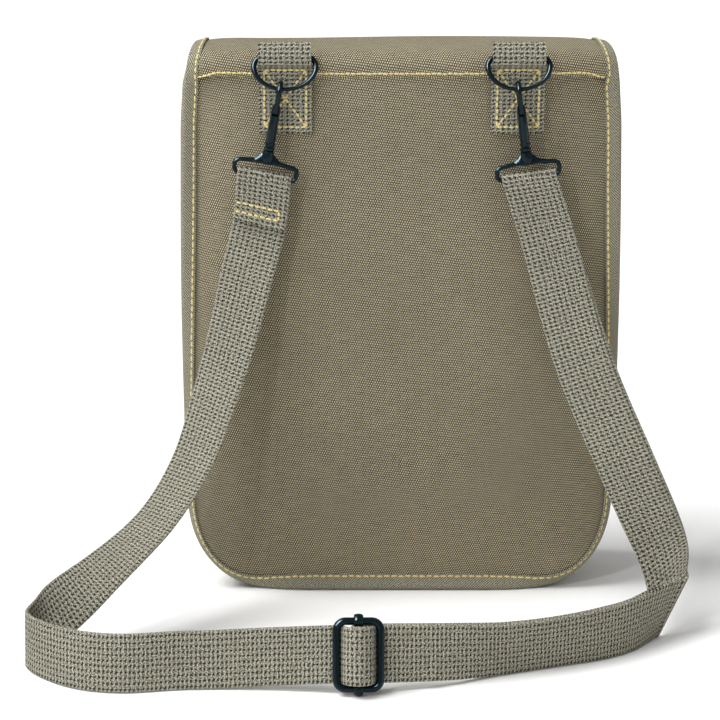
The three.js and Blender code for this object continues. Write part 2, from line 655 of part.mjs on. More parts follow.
// The side of a row that faces the inside of the strap's loop
function insides(rows) {
  return rows.map(({ w }, i) => {
    const before = rows[Math.max(i - 1, 0)].p;
    const after = rows[Math.min(i + 1, rows.length - 1)].p;
    return w.clone().cross(after.clone().sub(before)).normalize();
  });
}

// A second layer on the inside of the strap. Near an eye it stands off by the eye's wire
function insideLayer(rows, eye, drift) {
  const normals = insides(rows);
  const apart = 2 * round(EYE.wire, 0);
  const close = WEBBING.thickness + GAP;
  return rows.map(({ p, w }, i) => {
    const away = smoothstep(p.distanceTo(eye.origin), EYE_SPREAD.from, EYE_SPREAD.to);
    const offset = p.clone().addScaledVector(normals[i], lerp(apart, close, away));
    const shift = smoothstep(p.distanceTo(eye.origin), LAYER_DRIFT.from, LAYER_DRIFT.to)
      * smoothstep(p.z, LAYER_DRIFT.low, LAYER_DRIFT.high);
    return { p: offset.addScaledVector(w, -drift * shift), w };
  });
}

function roundEye(eye, w, back) {
  const reach = round(EYE.wire, 0);
  return Array.from({ length: EYE_STEPS }, (_, k) => {
    const angle = (Math.PI * (k + 1)) / (EYE_STEPS + 1);
    const p = eye.origin.clone().addScaledVector(back, reach * Math.cos(angle));
    return { p: p.addScaledVector(eye.up, reach * Math.sin(angle)), w };
  });
}

function strapRows() {
  const [leftEye, rightEye] = HOOKS.map(eyeFrame);
  const back = point(0, 1, 0);
  const reach = round(EYE.wire, 0);
  const behind = (eye) => eye.origin.clone().addScaledVector(back, reach);
  const leftTop = { p: behind(leftEye), w: leftEye.across.clone().negate() };
  const rightTop = { p: behind(rightEye), w: rightEye.across.clone() };
  const overBar = inSlider(sliderPath(0));
  const intoBar = inSlider(sliderPath(0), -1).reverse();
  const left = [leftTop, ...smoothRows([
    leftTop, ...STRAP_LEFT_ROWS.map(strapRow), intoBar[0],
  ], STRAP_STEP)];
  const crease = creaseRows();
  const rightFront = smoothRows([overBar.at(-1), ...STRAP_RIGHT_ROWS.map(strapRow), crease[0]], STRAP_STEP);
  const rightUp = smoothRows([crease.at(-1), ...STRAP_UP_ROWS.map(strapRow), rightTop], STRAP_STEP);
  const right = [...rightFront, ...crease.slice(1), ...rightUp];
  const main = [...left, ...intoBar.slice(1), ...overBar.slice(1), ...right];
  const sewn = insideLayer(left, leftEye, 0).filter(({ p }) => p.distanceTo(leftEye.origin) < SEWN_END);
  const doubled = insideLayer([overBar.at(-1), ...right], rightEye, LAYER_DRIFT.shift).reverse();
  const lap = inSlider(sliderPath(1)).reverse();
  return [
    ...sewn.reverse(),
    ...roundEye(leftEye, leftTop.w, back).reverse(),
    ...main,
    ...roundEye(rightEye, rightTop.w, back),
    ...doubled.slice(0, -1),
    ...lap,
    ...inSlider(sliderTail()),
  ];
}

function strapGeometry() {
  const rows = strapRows();
  const slider = sliderFrame().origin;
  const grid = rows.map(({ p, w }, i) => {
    const before = rows[Math.max(i - 1, 0)].p;
    const along = rows[Math.min(i + 1, rows.length - 1)].p.clone().sub(before).normalize();
    const normal = along.clone().cross(w);
    const drawn = lerp(DRAWN_IN.share, 1, smoothstep(p.distanceTo(slider), DRAWN_IN.from, DRAWN_IN.to));
    const half = (drawn * WEBBING.width) / 2 / Math.max(normal.length(), SLANT);
    const low = p.z - half * Math.abs(w.z) - (Math.abs(normal.normalize().z) * WEBBING.thickness) / 2;
    const middle = p.clone().setZ(p.z + Math.max(FLOOR_CLEARANCE - low, 0));
    return [middle.clone().addScaledVector(w, -half), middle.clone().addScaledVector(w, half)];
  });
  return thicken(quadsOf(grid), WEBBING.thickness);
}

// Slider
function sliderBarGeometry() {
  const { radius, sleeve, bore, length, end, boreReach } = SLIDER_BAR;
  const middle = SLIDER_FRAME.height / 2;
  const atEnds = (size, reach) => [-1, 1].map((way) => (
    rod(size, -reach, reach, SIDES.turned).rotateY(Math.PI / 2).translate(0, 0, way * middle)
  ));
  const bar = rod(radius, end - middle, middle - end, SIDES.rod);
  return cut(joined(bar, ...atEnds(sleeve, length / 2)), ...atEnds(bore, boreReach));
}

function sliderFrameGeometry() {
  const { width, height, corner, wire } = SLIDER_FRAME;
  const curve = loopCurve(width, height, corner, corner);
  return wireLoop(curve, LOOP_STEPS.slider, wire).translate(0, 0, height / 2);
}

// Press stud: cap outside the flap, post through it, socket on the front panel
function studGeometry() {
  const flap = (FLAP.frontHalfDepth + FLAP.frontSwell) * flapFrontShare(STUD.z);
  const under = flap - CANVAS / 2 - GAP;
  const panel = panelDepth(SWELL.front, 0, STUD.z) + CANVAS / 2 + GAP;
  const cap = flap + CANVAS / 2 + GAP;
  return turnedProfile([
    { radius: STUD.socket, z: panel },
    { radius: STUD.socket, z: under - STUD.shoulder },
    { radius: STUD.post, z: under },
    { radius: STUD.post, z: cap },
    ...STUD_CAP_ROWS.map(({ radius, height }) => (
      { radius: STUD.capRadius * radius, z: cap + STUD.capHeight * height }
    )),
  ], SIDES.turned).rotateX(-Math.PI / 2).translate(0, 0, STUD.z);
}

function flapFrontShare(z) {
  const top = FLAP_BACK_ROWS.at(-1).z;
  const drop = (top - z) / (top - FLAP.hem);
  const next = FLAP_FRONT_ROWS.findIndex((row) => row.drop >= drop);
  const [a, b] = [FLAP_FRONT_ROWS[next - 1], FLAP_FRONT_ROWS[next]];
  return lerp(a.depth, b.depth, (drop - a.drop) / (b.drop - a.drop));
}

const group = new THREE.Group();

function place(name, geometry, material, parent = group) {
  const mesh = new THREE.Mesh(geometry, material);
  mesh.name = name;
  parent.add(mesh);
  return mesh;
}

const backPanel = panelRows(-1, SWELL.back, SEAM.top, PANEL_TOP);
const frontPanel = panelRows(1, SWELL.front, SEAM.frontTop);
const backFrames = finFrames(freeEdge(backPanel.seamRows), -1);
const frontFrames = finFrames(freeEdge(frontPanel.seamRows), 1);
place('back_panel', panelGeometry(-1, backPanel, backFrames), canvas);
place('front_panel', panelGeometry(1, frontPanel, frontFrames), canvas);
place('gusset', gussetGeometry(backFrames, frontFrames), canvas);
place('back_binding', seamTape(backFrames), tape);
place('front_binding', seamTape(frontFrames), tape);

const flapGrid = flapRows();
const studHole = rod(STUD.hole, STUD.holeFrom, STUD.holeTo, SIDES.hole)
  .rotateX(-Math.PI / 2).translate(0, 0, STUD.z);
place('flap', cut(thicken(quadsOf(flapGrid), CANVAS), studHole), canvas);
place('flap_binding', tapeGeometry(edgeFrames(flapGrid), CANVAS / 2 + 2 * GAP, FLAP.edge, FLAP.edge), tape);
place('flap_stud', studGeometry(), paint);

const ringCurve = loopCurve(RING.width, RING.height, RING.topCorner, RING.width / 2 - RING.footFlat);
HOOKS.forEach((hook) => {
  place(`${hook.side}_tab`, tabGeometry(hook.ring * RING.x), webbing);
  const ring = place(
    `${hook.side}_d_ring`,
    wireLoop(ringCurve, LOOP_STEPS.ring, RING.wire), paint,
  );
  ring.position.set(hook.ring * RING.x, RING.y, RING.z);
  ring.rotation.x = -radians(RING.tilt);
  const hanger = new THREE.Group();
  hanger.applyMatrix4(hookMatrix(hook));
  place(`${hook.side}_hook`, hookGeometry(), paint, hanger);
  place(`${hook.side}_gate`, gateGeometry(), paint, hanger);
  place(`${hook.side}_eye`, eyeGeometry(), paint, hanger);
  group.add(hanger);
});

place('strap', strapGeometry(), webbing);
const { origin, along, out, w } = sliderFrame();
const slider = new THREE.Group();
slider.applyMatrix4(new THREE.Matrix4().makeBasis(along, out.clone().negate(), w).setPosition(origin));
place('slider_frame', sliderFrameGeometry(), paint, slider);
place('slider_bar', sliderBarGeometry(), paint, slider);
group.add(slider);

export default group;
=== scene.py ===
"""Looks of a canvas map case that stands on its base, with its shoulder strap laid forward on the floor.

Sizes are in millimetres in the part's own frame, and meshes are made in metres.
"""
import logging
import math
from dataclasses import dataclass
from enum import Enum
from typing import Any, Callable, Optional, Sequence, Union

import bmesh
import bpy
import numpy as np
from mathutils import Matrix, Vector


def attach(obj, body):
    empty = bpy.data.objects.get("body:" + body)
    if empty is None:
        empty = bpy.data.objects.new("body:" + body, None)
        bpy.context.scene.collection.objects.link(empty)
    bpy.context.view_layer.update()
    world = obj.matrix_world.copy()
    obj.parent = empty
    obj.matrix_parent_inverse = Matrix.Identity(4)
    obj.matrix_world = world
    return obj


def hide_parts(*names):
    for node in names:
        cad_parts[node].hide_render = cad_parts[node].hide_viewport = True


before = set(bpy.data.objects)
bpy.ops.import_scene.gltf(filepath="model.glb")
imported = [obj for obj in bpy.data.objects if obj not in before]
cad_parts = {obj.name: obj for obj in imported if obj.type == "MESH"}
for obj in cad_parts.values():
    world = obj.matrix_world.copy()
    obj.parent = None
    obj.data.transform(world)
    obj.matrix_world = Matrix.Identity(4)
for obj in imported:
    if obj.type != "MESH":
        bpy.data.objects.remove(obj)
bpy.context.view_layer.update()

log = logging.getLogger("map_case")

METRES = 0.001
EDGE_CROWDING = 1.5
REPEATED = 0.02
CASE = "case"
Piece = bpy.types.Object
Material = bpy.types.Material
Array = np.ndarray
Pair = tuple[float, float]
Triple = tuple[float, float, float]
Colour = Triple
Profile = tuple[Pair, ...]
FlapRow = tuple[float, float, float, float, float]
StrapRow = tuple[float, float, Optional[float], float, float, float]
Runs = list[tuple[Array, Array]]
Value = Union["Shade", float]


class Side(Enum):
    """The case's two sides, seen from its back."""

    LEFT = -1
    RIGHT = 1

    @property
    def word(self) -> str:
        """The side's name in lower case."""
        return self.name.lower()


class Held(Enum):
    """How a sheet of cloth is held."""

    STRETCHED = "stretched"
    DRAPED = "draped"
    FOLDED = "folded"
    LAID = "laid"


class Slot(Enum):
    """The record's material slots."""

    CANVAS = "canvas"
    TAPE = "binding_tape"
    WEBBING = "webbing"
    PAINT = "black_paint"


def lerp(a: Any, b: Any, share: Any) -> Any:
    """The value between a and b at a share of the way."""
    return a + (b - a) * share


def smoothstep(value: Any, low: float, high: float) -> Any:
    """A smooth rise from 0 at low to 1 at high."""
    share = np.clip((np.asarray(value, float) - low) / (high - low), 0, 1)
    return share * share * (3 - 2 * share)


def unit(vectors: Array) -> Array:
    """Vectors of length 1 in the same directions."""
    return vectors / np.maximum(np.linalg.norm(vectors, axis=-1, keepdims=True), 1e-9)


def vec(*values: float) -> Array:
    """A point or direction as an array."""
    return np.array(values, float)


def run_lengths(points: Array) -> Array:
    """Each point's distance along a line of points, which run along the first axis."""
    steps = np.linalg.norm(np.diff(points, axis=0), axis=-1)
    return np.concatenate([np.zeros((1, *steps.shape[1:])), np.cumsum(steps, axis=0)])


def read_along(run: Array, values: Array, where: Array) -> Array:
    """Rows of values at distances along a line, from each place's own distance and row of values."""
    return np.stack([np.interp(where, run, column) for column in values.T], 1)


def crowded(count: int) -> Array:
    """Shares from -1 to 1, closer together towards both ends."""
    share = np.linspace(-1, 1, count)
    return np.sign(share) * (1 - (1 - np.abs(share)) ** EDGE_CROWDING)


def numbered(points: Array) -> Array:
    """Each point's number, in rows of points."""
    return np.arange(points.shape[0] * points.shape[1]).reshape(points.shape[:2])


def from_middle(points: Array) -> Array:
    """Each point's distance along its row, from the row's middle."""
    across = run_lengths(points.transpose(1, 0, 2)).T
    middle = points.shape[1] // 2
    return across - across[:, middle:middle + 1]


def sway(run: Array, kind: Pair) -> Array:
    """A slow swing along a run, from its size and its pitch."""
    size, pitch = kind
    return size * np.sin(run / pitch)


def extended(rows: Array) -> Array:
    """Rows with one more at each end, a straight step on."""
    return np.vstack([2 * rows[0] - rows[1], rows, 2 * rows[-1] - rows[-2]])


def smooth_line(points: Array, places: Array, values: Optional[Array] = None) -> Array:
    """A centripetal curve through points.

    Args:
        points: The points that the curve goes through.
        places: Where to read it, in points from the first one.
        values: Values at the points to read along the curve instead of the points.
    Returns:
        One point or value for each place.
    """
    values = points if values is None else values
    segment = np.clip(places.astype(int), 0, len(points) - 2)
    t = (places - segment)[:, None]
    path = extended(points)
    q = [extended(values)[segment + k] for k in range(4)]
    gap = [
        np.sqrt(np.maximum(np.linalg.norm(path[segment + k + 1] - path[segment + k], axis=1), 1e-6))[:, None]
        for k in range(3)
    ]
    leave = ((q[1] - q[0]) / gap[0] - (q[2] - q[0]) / (gap[0] + gap[1]) + (q[2] - q[1]) / gap[1]) * gap[1]
    reach = ((q[2] - q[1]) / gap[1] - (q[3] - q[1]) / (gap[1] + gap[2]) + (q[3] - q[2]) / gap[2]) * gap[1]
    bend = -3 * q[1] + 3 * q[2] - 2 * leave - reach
    twist = 2 * q[1] - 2 * q[2] + leave + reach
    return q[1] + leave * t + bend * t**2 + twist * t**3


class Shade:
    """A shader value. Arithmetic on it adds Math nodes."""

    def __init__(self, graph: "Graph", socket: Optional[bpy.types.NodeSocket]) -> None:
        """Wraps an output socket of a graph."""
        self.graph = graph
        self.socket = socket

    def math(self, operation: str, *others: Value, swap: bool = False) -> "Shade":
        """A Math node on this value.

        Args:
            operation: The node's operation.
            others: The values that follow this one.
            swap: Whether this value comes second.
        Returns:
            The node's value.
        """
        values = [self, *others]
        if swap:
            values.reverse()
        return self.graph.make("ShaderNodeMath", {"operation": operation}, dict(enumerate(values)))

    def __add__(self, other: Value) -> "Shade":
        """This value plus another."""
        return self.math("ADD", other)

    __radd__ = __add__

    def __sub__(self, other: Value) -> "Shade":
        """This value less another."""
        return self.math("SUBTRACT", other)

    def __rsub__(self, other: float) -> "Shade":
        """A number less this value."""
        return self.math("SUBTRACT", other, swap=True)

    def __mul__(self, other: Value) -> "Shade":
        """This value times another."""
        return self.math("MULTIPLY", other)

    __rmul__ = __mul__

    def __truediv__(self, other: Value) -> "Shade":
        """This value over another."""
        return self.math("DIVIDE", other)

    def __pow__(self, other: Value) -> "Shade":
        """This value to a power."""
        return self.math("POWER", other)

    def __abs__(self) -> "Shade":
        """This value without its sign."""
        return self.math("ABSOLUTE")

    def sin(self) -> "Shade":
        """The sine of this value."""
        return self.math("SINE")

    def fract(self) -> "Shade":
        """What is past this value's whole number."""
        return self.math("FRACT")

    def rise(self, low: float, high: float) -> "Shade":
        """A smooth rise from 0 where this value is low to 1 where it is high."""
        return self.graph.make(
            "ShaderNodeMapRange", {"interpolation_type": "SMOOTHSTEP"}, {0: self, 1: low, 2: high}
        )


class Graph:
    """The node tree of one material or of the world."""

    def __init__(self, holder: Union[Material, bpy.types.World]) -> None:
        """Starts with an empty tree."""
        self.holder = holder
        holder.use_nodes = True
        self.tree = holder.node_tree
        self.tree.nodes.clear()

    def make(
        self, kind: str, settings: dict[str, Any], inputs: dict[Any, Any], output: Union[int, str] = 0
    ) -> Shade:
        """Adds any node.

        Args:
            kind: The node's type.
            settings: Its settings, set before its sockets.
            inputs: Values, or links as Shade, by the socket's name or number.
            output: The output that is wanted.
        Returns:
            That output.
        """
        node = self.tree.nodes.new(kind)
        for key, value in settings.items():
            setattr(node, key, value)
        for key, value in inputs.items():
            if isinstance(value, Shade):
                self.tree.links.new(value.socket, node.inputs[key])
            else:
                node.inputs[key].default_value = value
        return Shade(self, node.outputs[output] if node.outputs else None)

    def flat_place(self) -> tuple[Shade, Shade]:
        """The place on the flat cloth, across and along, in millimetres."""
        place = self.make("ShaderNodeUVMap", {"uv_map": "flat"}, {})
        across, along = (self.make("ShaderNodeSeparateXYZ", {}, {0: place}, axis) for axis in "XY")
        return across / METRES, along / METRES

    def body_place(self) -> Shade:
        """The place in the part's own frame, in metres."""
        return self.make("ShaderNodeTexCoord", {}, {}, "Object")

    def vector(self, x: Value, y: Value, z: Value = 0.0) -> Shade:
        """A vector of three values."""
        return self.make("ShaderNodeCombineXYZ", {}, {0: x, 1: y, 2: z})

    def noise(self, place: Shade, scale: float, detail: float = 2.0) -> Shade:
        """Soft noise about 0.5."""
        return self.make(
            "ShaderNodeTexNoise", {}, {"Vector": place, "Scale": scale, "Detail": detail}, "Fac"
        )

    def mix(self, share: Shade, *colours: Union[Shade, Colour]) -> Shade:
        """A colour between two, which may be colours or links."""
        first, second = (value if isinstance(value, Shade) else (*value, 1.0) for value in colours)
        # The node's colours are its inputs 6 and 7 and its output 2.
        return self.make("ShaderNodeMix", {"data_type": "RGBA"}, {0: share, 6: first, 7: second}, 2)

    def tint(self, colour: Union[Shade, Colour], brightness: Shade) -> Shade:
        """A colour made lighter or darker by a factor."""
        grey = self.vector(brightness, brightness, brightness)
        return self.make("ShaderNodeVectorMath", {"operation": "MULTIPLY"}, {0: colour, 1: grey})


Surface = tuple[Shade, Shade, Optional[Shade]]


@dataclass(frozen=True)
class Finish:
    """What every finish has: its name, its shader's fixed values and its relief's depth in millimetres."""

    name: str
    specular: float = 0.12
    relief: float = 0.3
    relief_strength: float = 0.5
    gleam: Colour = (1.0, 1.0, 1.0)
    patches: Triple = (22.0, 0.3, 0.85)

    def surface(self, graph: Graph) -> Surface:
        """The colour, roughness and height of the finish's own pattern."""
        raise NotImplementedError

    def patched(self, graph: Graph, colour: Shade) -> Shade:
        """A colour with slow patches over the whole piece, from their scale, contrast and darkest share."""
        scale, contrast, darkest = self.patches
        return graph.tint(colour, graph.noise(graph.body_place(), scale, 3.0) * contrast + darkest)

    def material(self) -> Material:
        """The finish as a material."""
        graph = Graph(bpy.data.materials.new(self.name))
        colour, rough, height = self.surface(graph)
        inputs: dict[str, Any] = {
            "Base Color": colour, "Roughness": rough,
            "Specular IOR Level": self.specular, "Specular Tint": (*self.gleam, 1.0),
        }
        if height is not None:
            inputs["Normal"] = graph.make(
                "ShaderNodeBump", {},
                {"Strength": self.relief_strength, "Distance": self.relief * METRES, "Height": height},
            )
        shader = graph.make("ShaderNodeBsdfPrincipled", {}, inputs)
        graph.make("ShaderNodeOutputMaterial", {}, {"Surface": shader})
        return graph.holder


@dataclass(frozen=True)
class Canvas(Finish):
    """Plain-weave cotton canvas: thick yarns over fine ones, with small pits between them."""

    # Painted shade: the colour put into the weave's pits. The range from low to high covers the yarn's own
    # tone and a painted highlight on the yarn crowns.
    shaded_pit: Colour = (0.020, 0.017, 0.010)
    low: Colour = (0.040, 0.034, 0.020)
    high: Colour = (0.555, 0.490, 0.332)
    across: float = 0.59
    along: float = 1.22
    skew: float = 0.14
    patches: Triple = (18.0, 0.3, 0.81)

    def surface(self, graph: Graph) -> Surface:
        """The weave's colour, roughness and height."""
        u, v = graph.flat_place()
        drift = graph.noise(graph.vector(u, v), 0.12) * 1.8
        warp = (u * (math.pi / self.across) + drift).sin()
        weft = ((v + u * self.skew) * (math.pi / self.along) + drift).sin()
        over = warp * weft
        # The pit mask deepens the relief and also paints the pits in the dark shade colour.
        shaded_pit = ((1 - abs(warp)) * (1 - abs(weft))).rise(0.2, 0.75)
        slub = graph.noise(graph.vector(u * 0.12, v * 0.9), 1.0, 3.0)
        fleck = graph.noise(graph.vector(u * 1.5, v), 1.1, 2.0)
        # Painted highlight: over and weft make the yarn crowns lighter. Slub and fleck are the yarn's own
        # uneven tone.
        light = over * 0.6 + abs(weft) * 0.6 + slub * 0.4 + fleck * 0.5 - 0.42
        colour = graph.mix(shaded_pit * 0.8, graph.mix(light.rise(0.0, 1.0), self.low, self.high), self.shaded_pit)
        return self.patched(graph, colour), 0.99 - slub * 0.14, over * 0.5 - shaded_pit * 0.8 + fleck * 0.3


@dataclass(frozen=True)
class Tape(Finish):
    """Cotton twill tape, with slanted ribs and a slight pucker at each stitch."""

    low: Colour = (0.060, 0.056, 0.040)
    high: Colour = (0.430, 0.402, 0.297)
    rib: float = 0.95
    slant: float = 0.9
    stitch: float = 3.7
    patches: Triple = (24.0, 0.3, 0.85)

    def surface(self, graph: Graph) -> Surface:
        """The twill's colour, roughness and height."""
        u, v = graph.flat_place()
        drift = graph.noise(graph.vector(u, v), 0.4) * 2.5
        rib = ((u + v * self.slant) * (2 * math.pi / self.rib / math.hypot(1, self.slant)) + drift).sin()
        yarn = graph.noise(graph.vector(u * 1.3, v * 0.7), 1.6, 3.0)
        pucker = (v * (2 * math.pi / self.stitch)).sin()
        colour = graph.mix((rib * 0.35 + yarn * 1.7 - 0.37).rise(0.0, 1.0), self.low, self.high)
        return self.patched(graph, colour), 0.97 - yarn * 0.12, rib * 0.5 + yarn * 0.5 + pucker * 0.5


@dataclass(frozen=True)
class Webbing(Finish):
    """Heavy cotton webbing: knots of yarn in columns, with a pit between each knot and the next."""

    # Painted shade: the colour put into the pits between knots. The range from low to high covers the fibres'
    # own tone and a painted highlight on fibres and ridges.
    shaded_pit: Colour = (0.012, 0.012, 0.009)
    low: Colour = (0.050, 0.049, 0.038)
    high: Colour = (0.475, 0.456, 0.354)
    column: float = 2.65
    pick: float = 2.03
    hole: Pair = (0.56, 0.60)
    slant: float = -0.3

    def surface(self, graph: Graph) -> Surface:
        """The webbing's colour, roughness and height."""
        u, v = graph.flat_place()
        drift = graph.noise(graph.vector(u, v), 0.3, 3.0) * 0.6
        column = u / self.column + drift * 0.4
        aside = column.fract() - 0.5
        ahead = (v / self.pick + aside * self.slant + drift).fract() - 0.5
        fibre = graph.noise(graph.vector(u * 1.5, v * 1.5), 1.0, 4.0)
        away = (aside * (self.column / self.hole[0])) ** 2 + (ahead * (self.pick / self.hole[1])) ** 2
        weight = graph.noise(graph.vector(u, v), 0.35, 3.0)
        # The pit mask deepens the relief and also paints the pits in the dark shade colour.
        shaded_pit = 1 - (away + fibre * 1.6 + weight * 1.5 - 1.55).rise(0.2, 1.5)
        # Painted highlight: the knots are painted lighter away from the pits and along the ridges between
        # columns. The fibre speckle is partly the yarn's own tone and partly a painted highlight.
        light = (fibre * 2.8 + abs(aside) * 0.2 + abs(ahead) * 0.8 - 1.22).rise(0.0, 1.0)
        colour = graph.mix(shaded_pit * 0.93, graph.mix(light, self.low, self.high), self.shaded_pit)
        return self.patched(graph, colour), 0.98 - fibre * 0.12, abs(aside) * 0.5 + fibre * 0.5 - shaded_pit


@dataclass(frozen=True)
class Thread(Finish):
    """Thick polished cotton sewing thread, with its twist."""

    low: Colour = (0.52, 0.40, 0.11)
    high: Colour = (0.92, 0.76, 0.33)

    def surface(self, graph: Graph) -> Surface:
        """The twist's colour, roughness and height."""
        along, around = graph.flat_place()
        twist = (along * 7.0 + around * 4.0).sin()
        fray = graph.noise(graph.body_place(), 900.0, 2.0)
        colour = graph.mix((twist * 0.3 + fray * 0.9 + 0.05).rise(0.0, 0.9), self.low, self.high)
        return colour, 0.75 - fray * 0.2, twist * 0.5 + fray * 0.4


@dataclass(frozen=True)
class Paint(Finish):
    """Semi-gloss black paint on steel, slightly uneven, with small scuffs."""

    body: Colour = (0.0025, 0.007, 0.009)
    scuff: Colour = (0.030, 0.045, 0.055)
    gloss: float = 0.11

    def surface(self, graph: Graph) -> Surface:
        """The paint's colour, roughness and height."""
        place = graph.body_place()
        cloud = graph.noise(place, 260.0, 3.0)
        scuff = graph.noise(place, 900.0, 4.0).rise(0.62, 0.74)
        colour = graph.mix(scuff * 0.5, self.body, self.scuff)
        return colour, cloud * 0.12 + scuff * 0.15 + self.gloss - 0.06, cloud


@dataclass(frozen=True)
class PaleFloor(Finish):
    """A plain white studio floor."""

    paper: Colour = (0.95, 0.95, 0.95)

    def surface(self, graph: Graph) -> Surface:
        """A nearly even white."""
        cloud = graph.noise(graph.body_place(), 0.7)
        return graph.tint(self.paper, cloud * 0.01 + 0.995), cloud * 0.05 + 0.85, None


class Finishes:
    """The case's materials, each made once."""

    def __init__(self) -> None:
        """Makes every finish."""
        self.canvas = Canvas("canvas", relief=0.35, relief_strength=0.55).material()
        self.tape = Tape("binding_tape", relief=0.25).material()
        self.webbing = Webbing("webbing", relief=0.6, relief_strength=0.7).material()
        self.thread = Thread("thread", specular=0.35, relief=0.15).material()
        self.paint = Paint(
            "black_paint", specular=0.22, relief=0.02, relief_strength=0.2, gleam=(0.6, 0.85, 1.0)
        ).material()
        self.floor = PaleFloor("floor", relief=0.0).material()


@dataclass
class Cloth:
    """A mesh in millimetres, with each point's place on the flat cloth, and its length if it is a ring."""

    points: Array
    flat: Array
    faces: Any
    wrap: float = 0.0

    @classmethod
    def grid(cls, points: Array, flat: Array) -> "Cloth":
        """A sheet from rows of points.

        Args:
            points: Rows of points.
            flat: Rows of flat places.
        Returns:
            The sheet, whose faces look along row direction crossed with column direction.
        """
        index = numbered(points)
        faces = np.stack([index[:-1, :-1], index[:-1, 1:], index[1:, 1:], index[1:, :-1]], axis=-1)
        return cls(points.reshape(-1, 3), flat.reshape(-1, 2), faces.reshape(-1, 4))

    @classmethod
    def tube(cls, rings: Array, flat: Array, closed: bool) -> "Cloth":
        """A closed skin from rings of points.

        Args:
            rings: Rings of points, one after the other.
            flat: The flat place of each.
            closed: Whether the last ring meets the first. Open ends are capped.
        Returns:
            The skin.
        """
        index = numbered(rings)
        turned = np.roll(index, -1, axis=1)
        after = np.roll(index, -1, axis=0)
        beyond = np.roll(turned, -1, axis=0)
        faces = np.stack([index, turned, beyond, after], axis=-1)
        faces = faces if closed else faces[:-1]
        caps = []
        if not closed:
            half = rings.shape[1] // 2
            for ring, way in ((index[0], -1), (index[-1], 1)):
                back = ring[::-1]
                strip = [[ring[k], ring[k + 1], back[k + 1], back[k]] for k in range(half - 1)]
                caps += [quad[::way] for quad in strip]
        every = np.vstack([faces.reshape(-1, 4), *([np.array(caps)] if caps else [])])
        skin = cls(rings.reshape(-1, 3), flat.reshape(-1, 2), every)
        a, b, c, d = (skin.points[every[:, k]] for k in range(4))
        volume = np.einsum("ij,ij->", a + b + c + d, np.cross(c - a, d - b))
        if volume < 0:
            skin.faces = every[:, ::-1]
        return skin

    def joined(self, faces: Array, points: Array, flat: Array) -> "Cloth":
        """This sheet with more points and faces."""
        old = (self.points, self.flat, self.faces)
        return Cloth(*(np.vstack(pair) for pair in zip(old, (points, flat, faces))))

    def normals(self) -> Array:
        """The sheet's outward direction at each point."""
        a, b, c, d = (self.points[self.faces[:, k]] for k in range(4))
        facing = np.cross(c - a, d - b)
        total = np.zeros_like(self.points)
        for k in range(4):
            np.add.at(total, self.faces[:, k], facing)
        return unit(total)

    def shell(self, thickness: float) -> "Cloth":
        """This middle sheet with a thickness.

        Args:
            thickness: The cloth's thickness.
        Returns:
            A closed skin of both faces and the rim.
        """
        count = len(self.points)
        offset = self.normals() * (thickness / 2)
        first = self.faces.ravel()
        second = np.roll(self.faces, -1, axis=1).ravel()
        known = set((second * count + first).tolist())
        rim = [(a, b) for a, b in zip(first.tolist(), second.tolist()) if a * count + b not in known]
        edge = np.array([[a, a + count, b + count, b] for a, b in rim])
        return Cloth(
            np.vstack([self.points + offset, self.points - offset]),
            np.vstack([self.flat, self.flat]),
            np.vstack([self.faces, self.faces[:, ::-1] + count, edge]),
        )

    def piece(self, name: str, material: Material, sharp: float = 50.0) -> Piece:
        """The mesh as a piece of the scene.

        Args:
            name: The piece's name.
            material: Its finish.
            sharp: Edges steeper than this many degrees stay sharp.
        Returns:
            The new object, at the origin.
        """
        mesh = bpy.data.meshes.new(name)
        faces = self.faces if isinstance(self.faces, list) else self.faces.tolist()
        mesh.from_pydata((self.points * METRES).tolist(), [], faces)
        layer = mesh.uv_layers.new(name="flat")
        corners = np.empty(len(mesh.loops), dtype=np.int32)
        mesh.loops.foreach_get("vertex_index", corners)
        flat = self.flat[corners]
        if self.wrap:
            along = flat[:, 1].reshape(-1, 4)
            along += self.wrap * (along < along.max(axis=1, keepdims=True) - self.wrap / 2)
        layer.data.foreach_set("uv", (flat * METRES).ravel().astype(np.float32))
        mesh.shade_smooth()
        mesh.set_sharp_from_angle(angle=math.radians(sharp))
        mesh.materials.append(material)
        mesh.validate()
        piece = bpy.data.objects.new(name, mesh)
        bpy.context.scene.collection.objects.link(piece)
        return piece


def settle(piece: Piece, replaces: Sequence[str] = (), body: str = CASE) -> Piece:
    """Gives a piece its body and the nodes it stands for.

    Args:
        piece: The finished piece.
        replaces: Nodes that it stands for.
        body: The body that it moves with.
    Returns:
        The piece.
    """
    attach(piece, body)
    if replaces:
        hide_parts(*replaces)
    log.info("%s: %d faces on %s", piece.name, len(piece.data.polygons), body)
    return piece


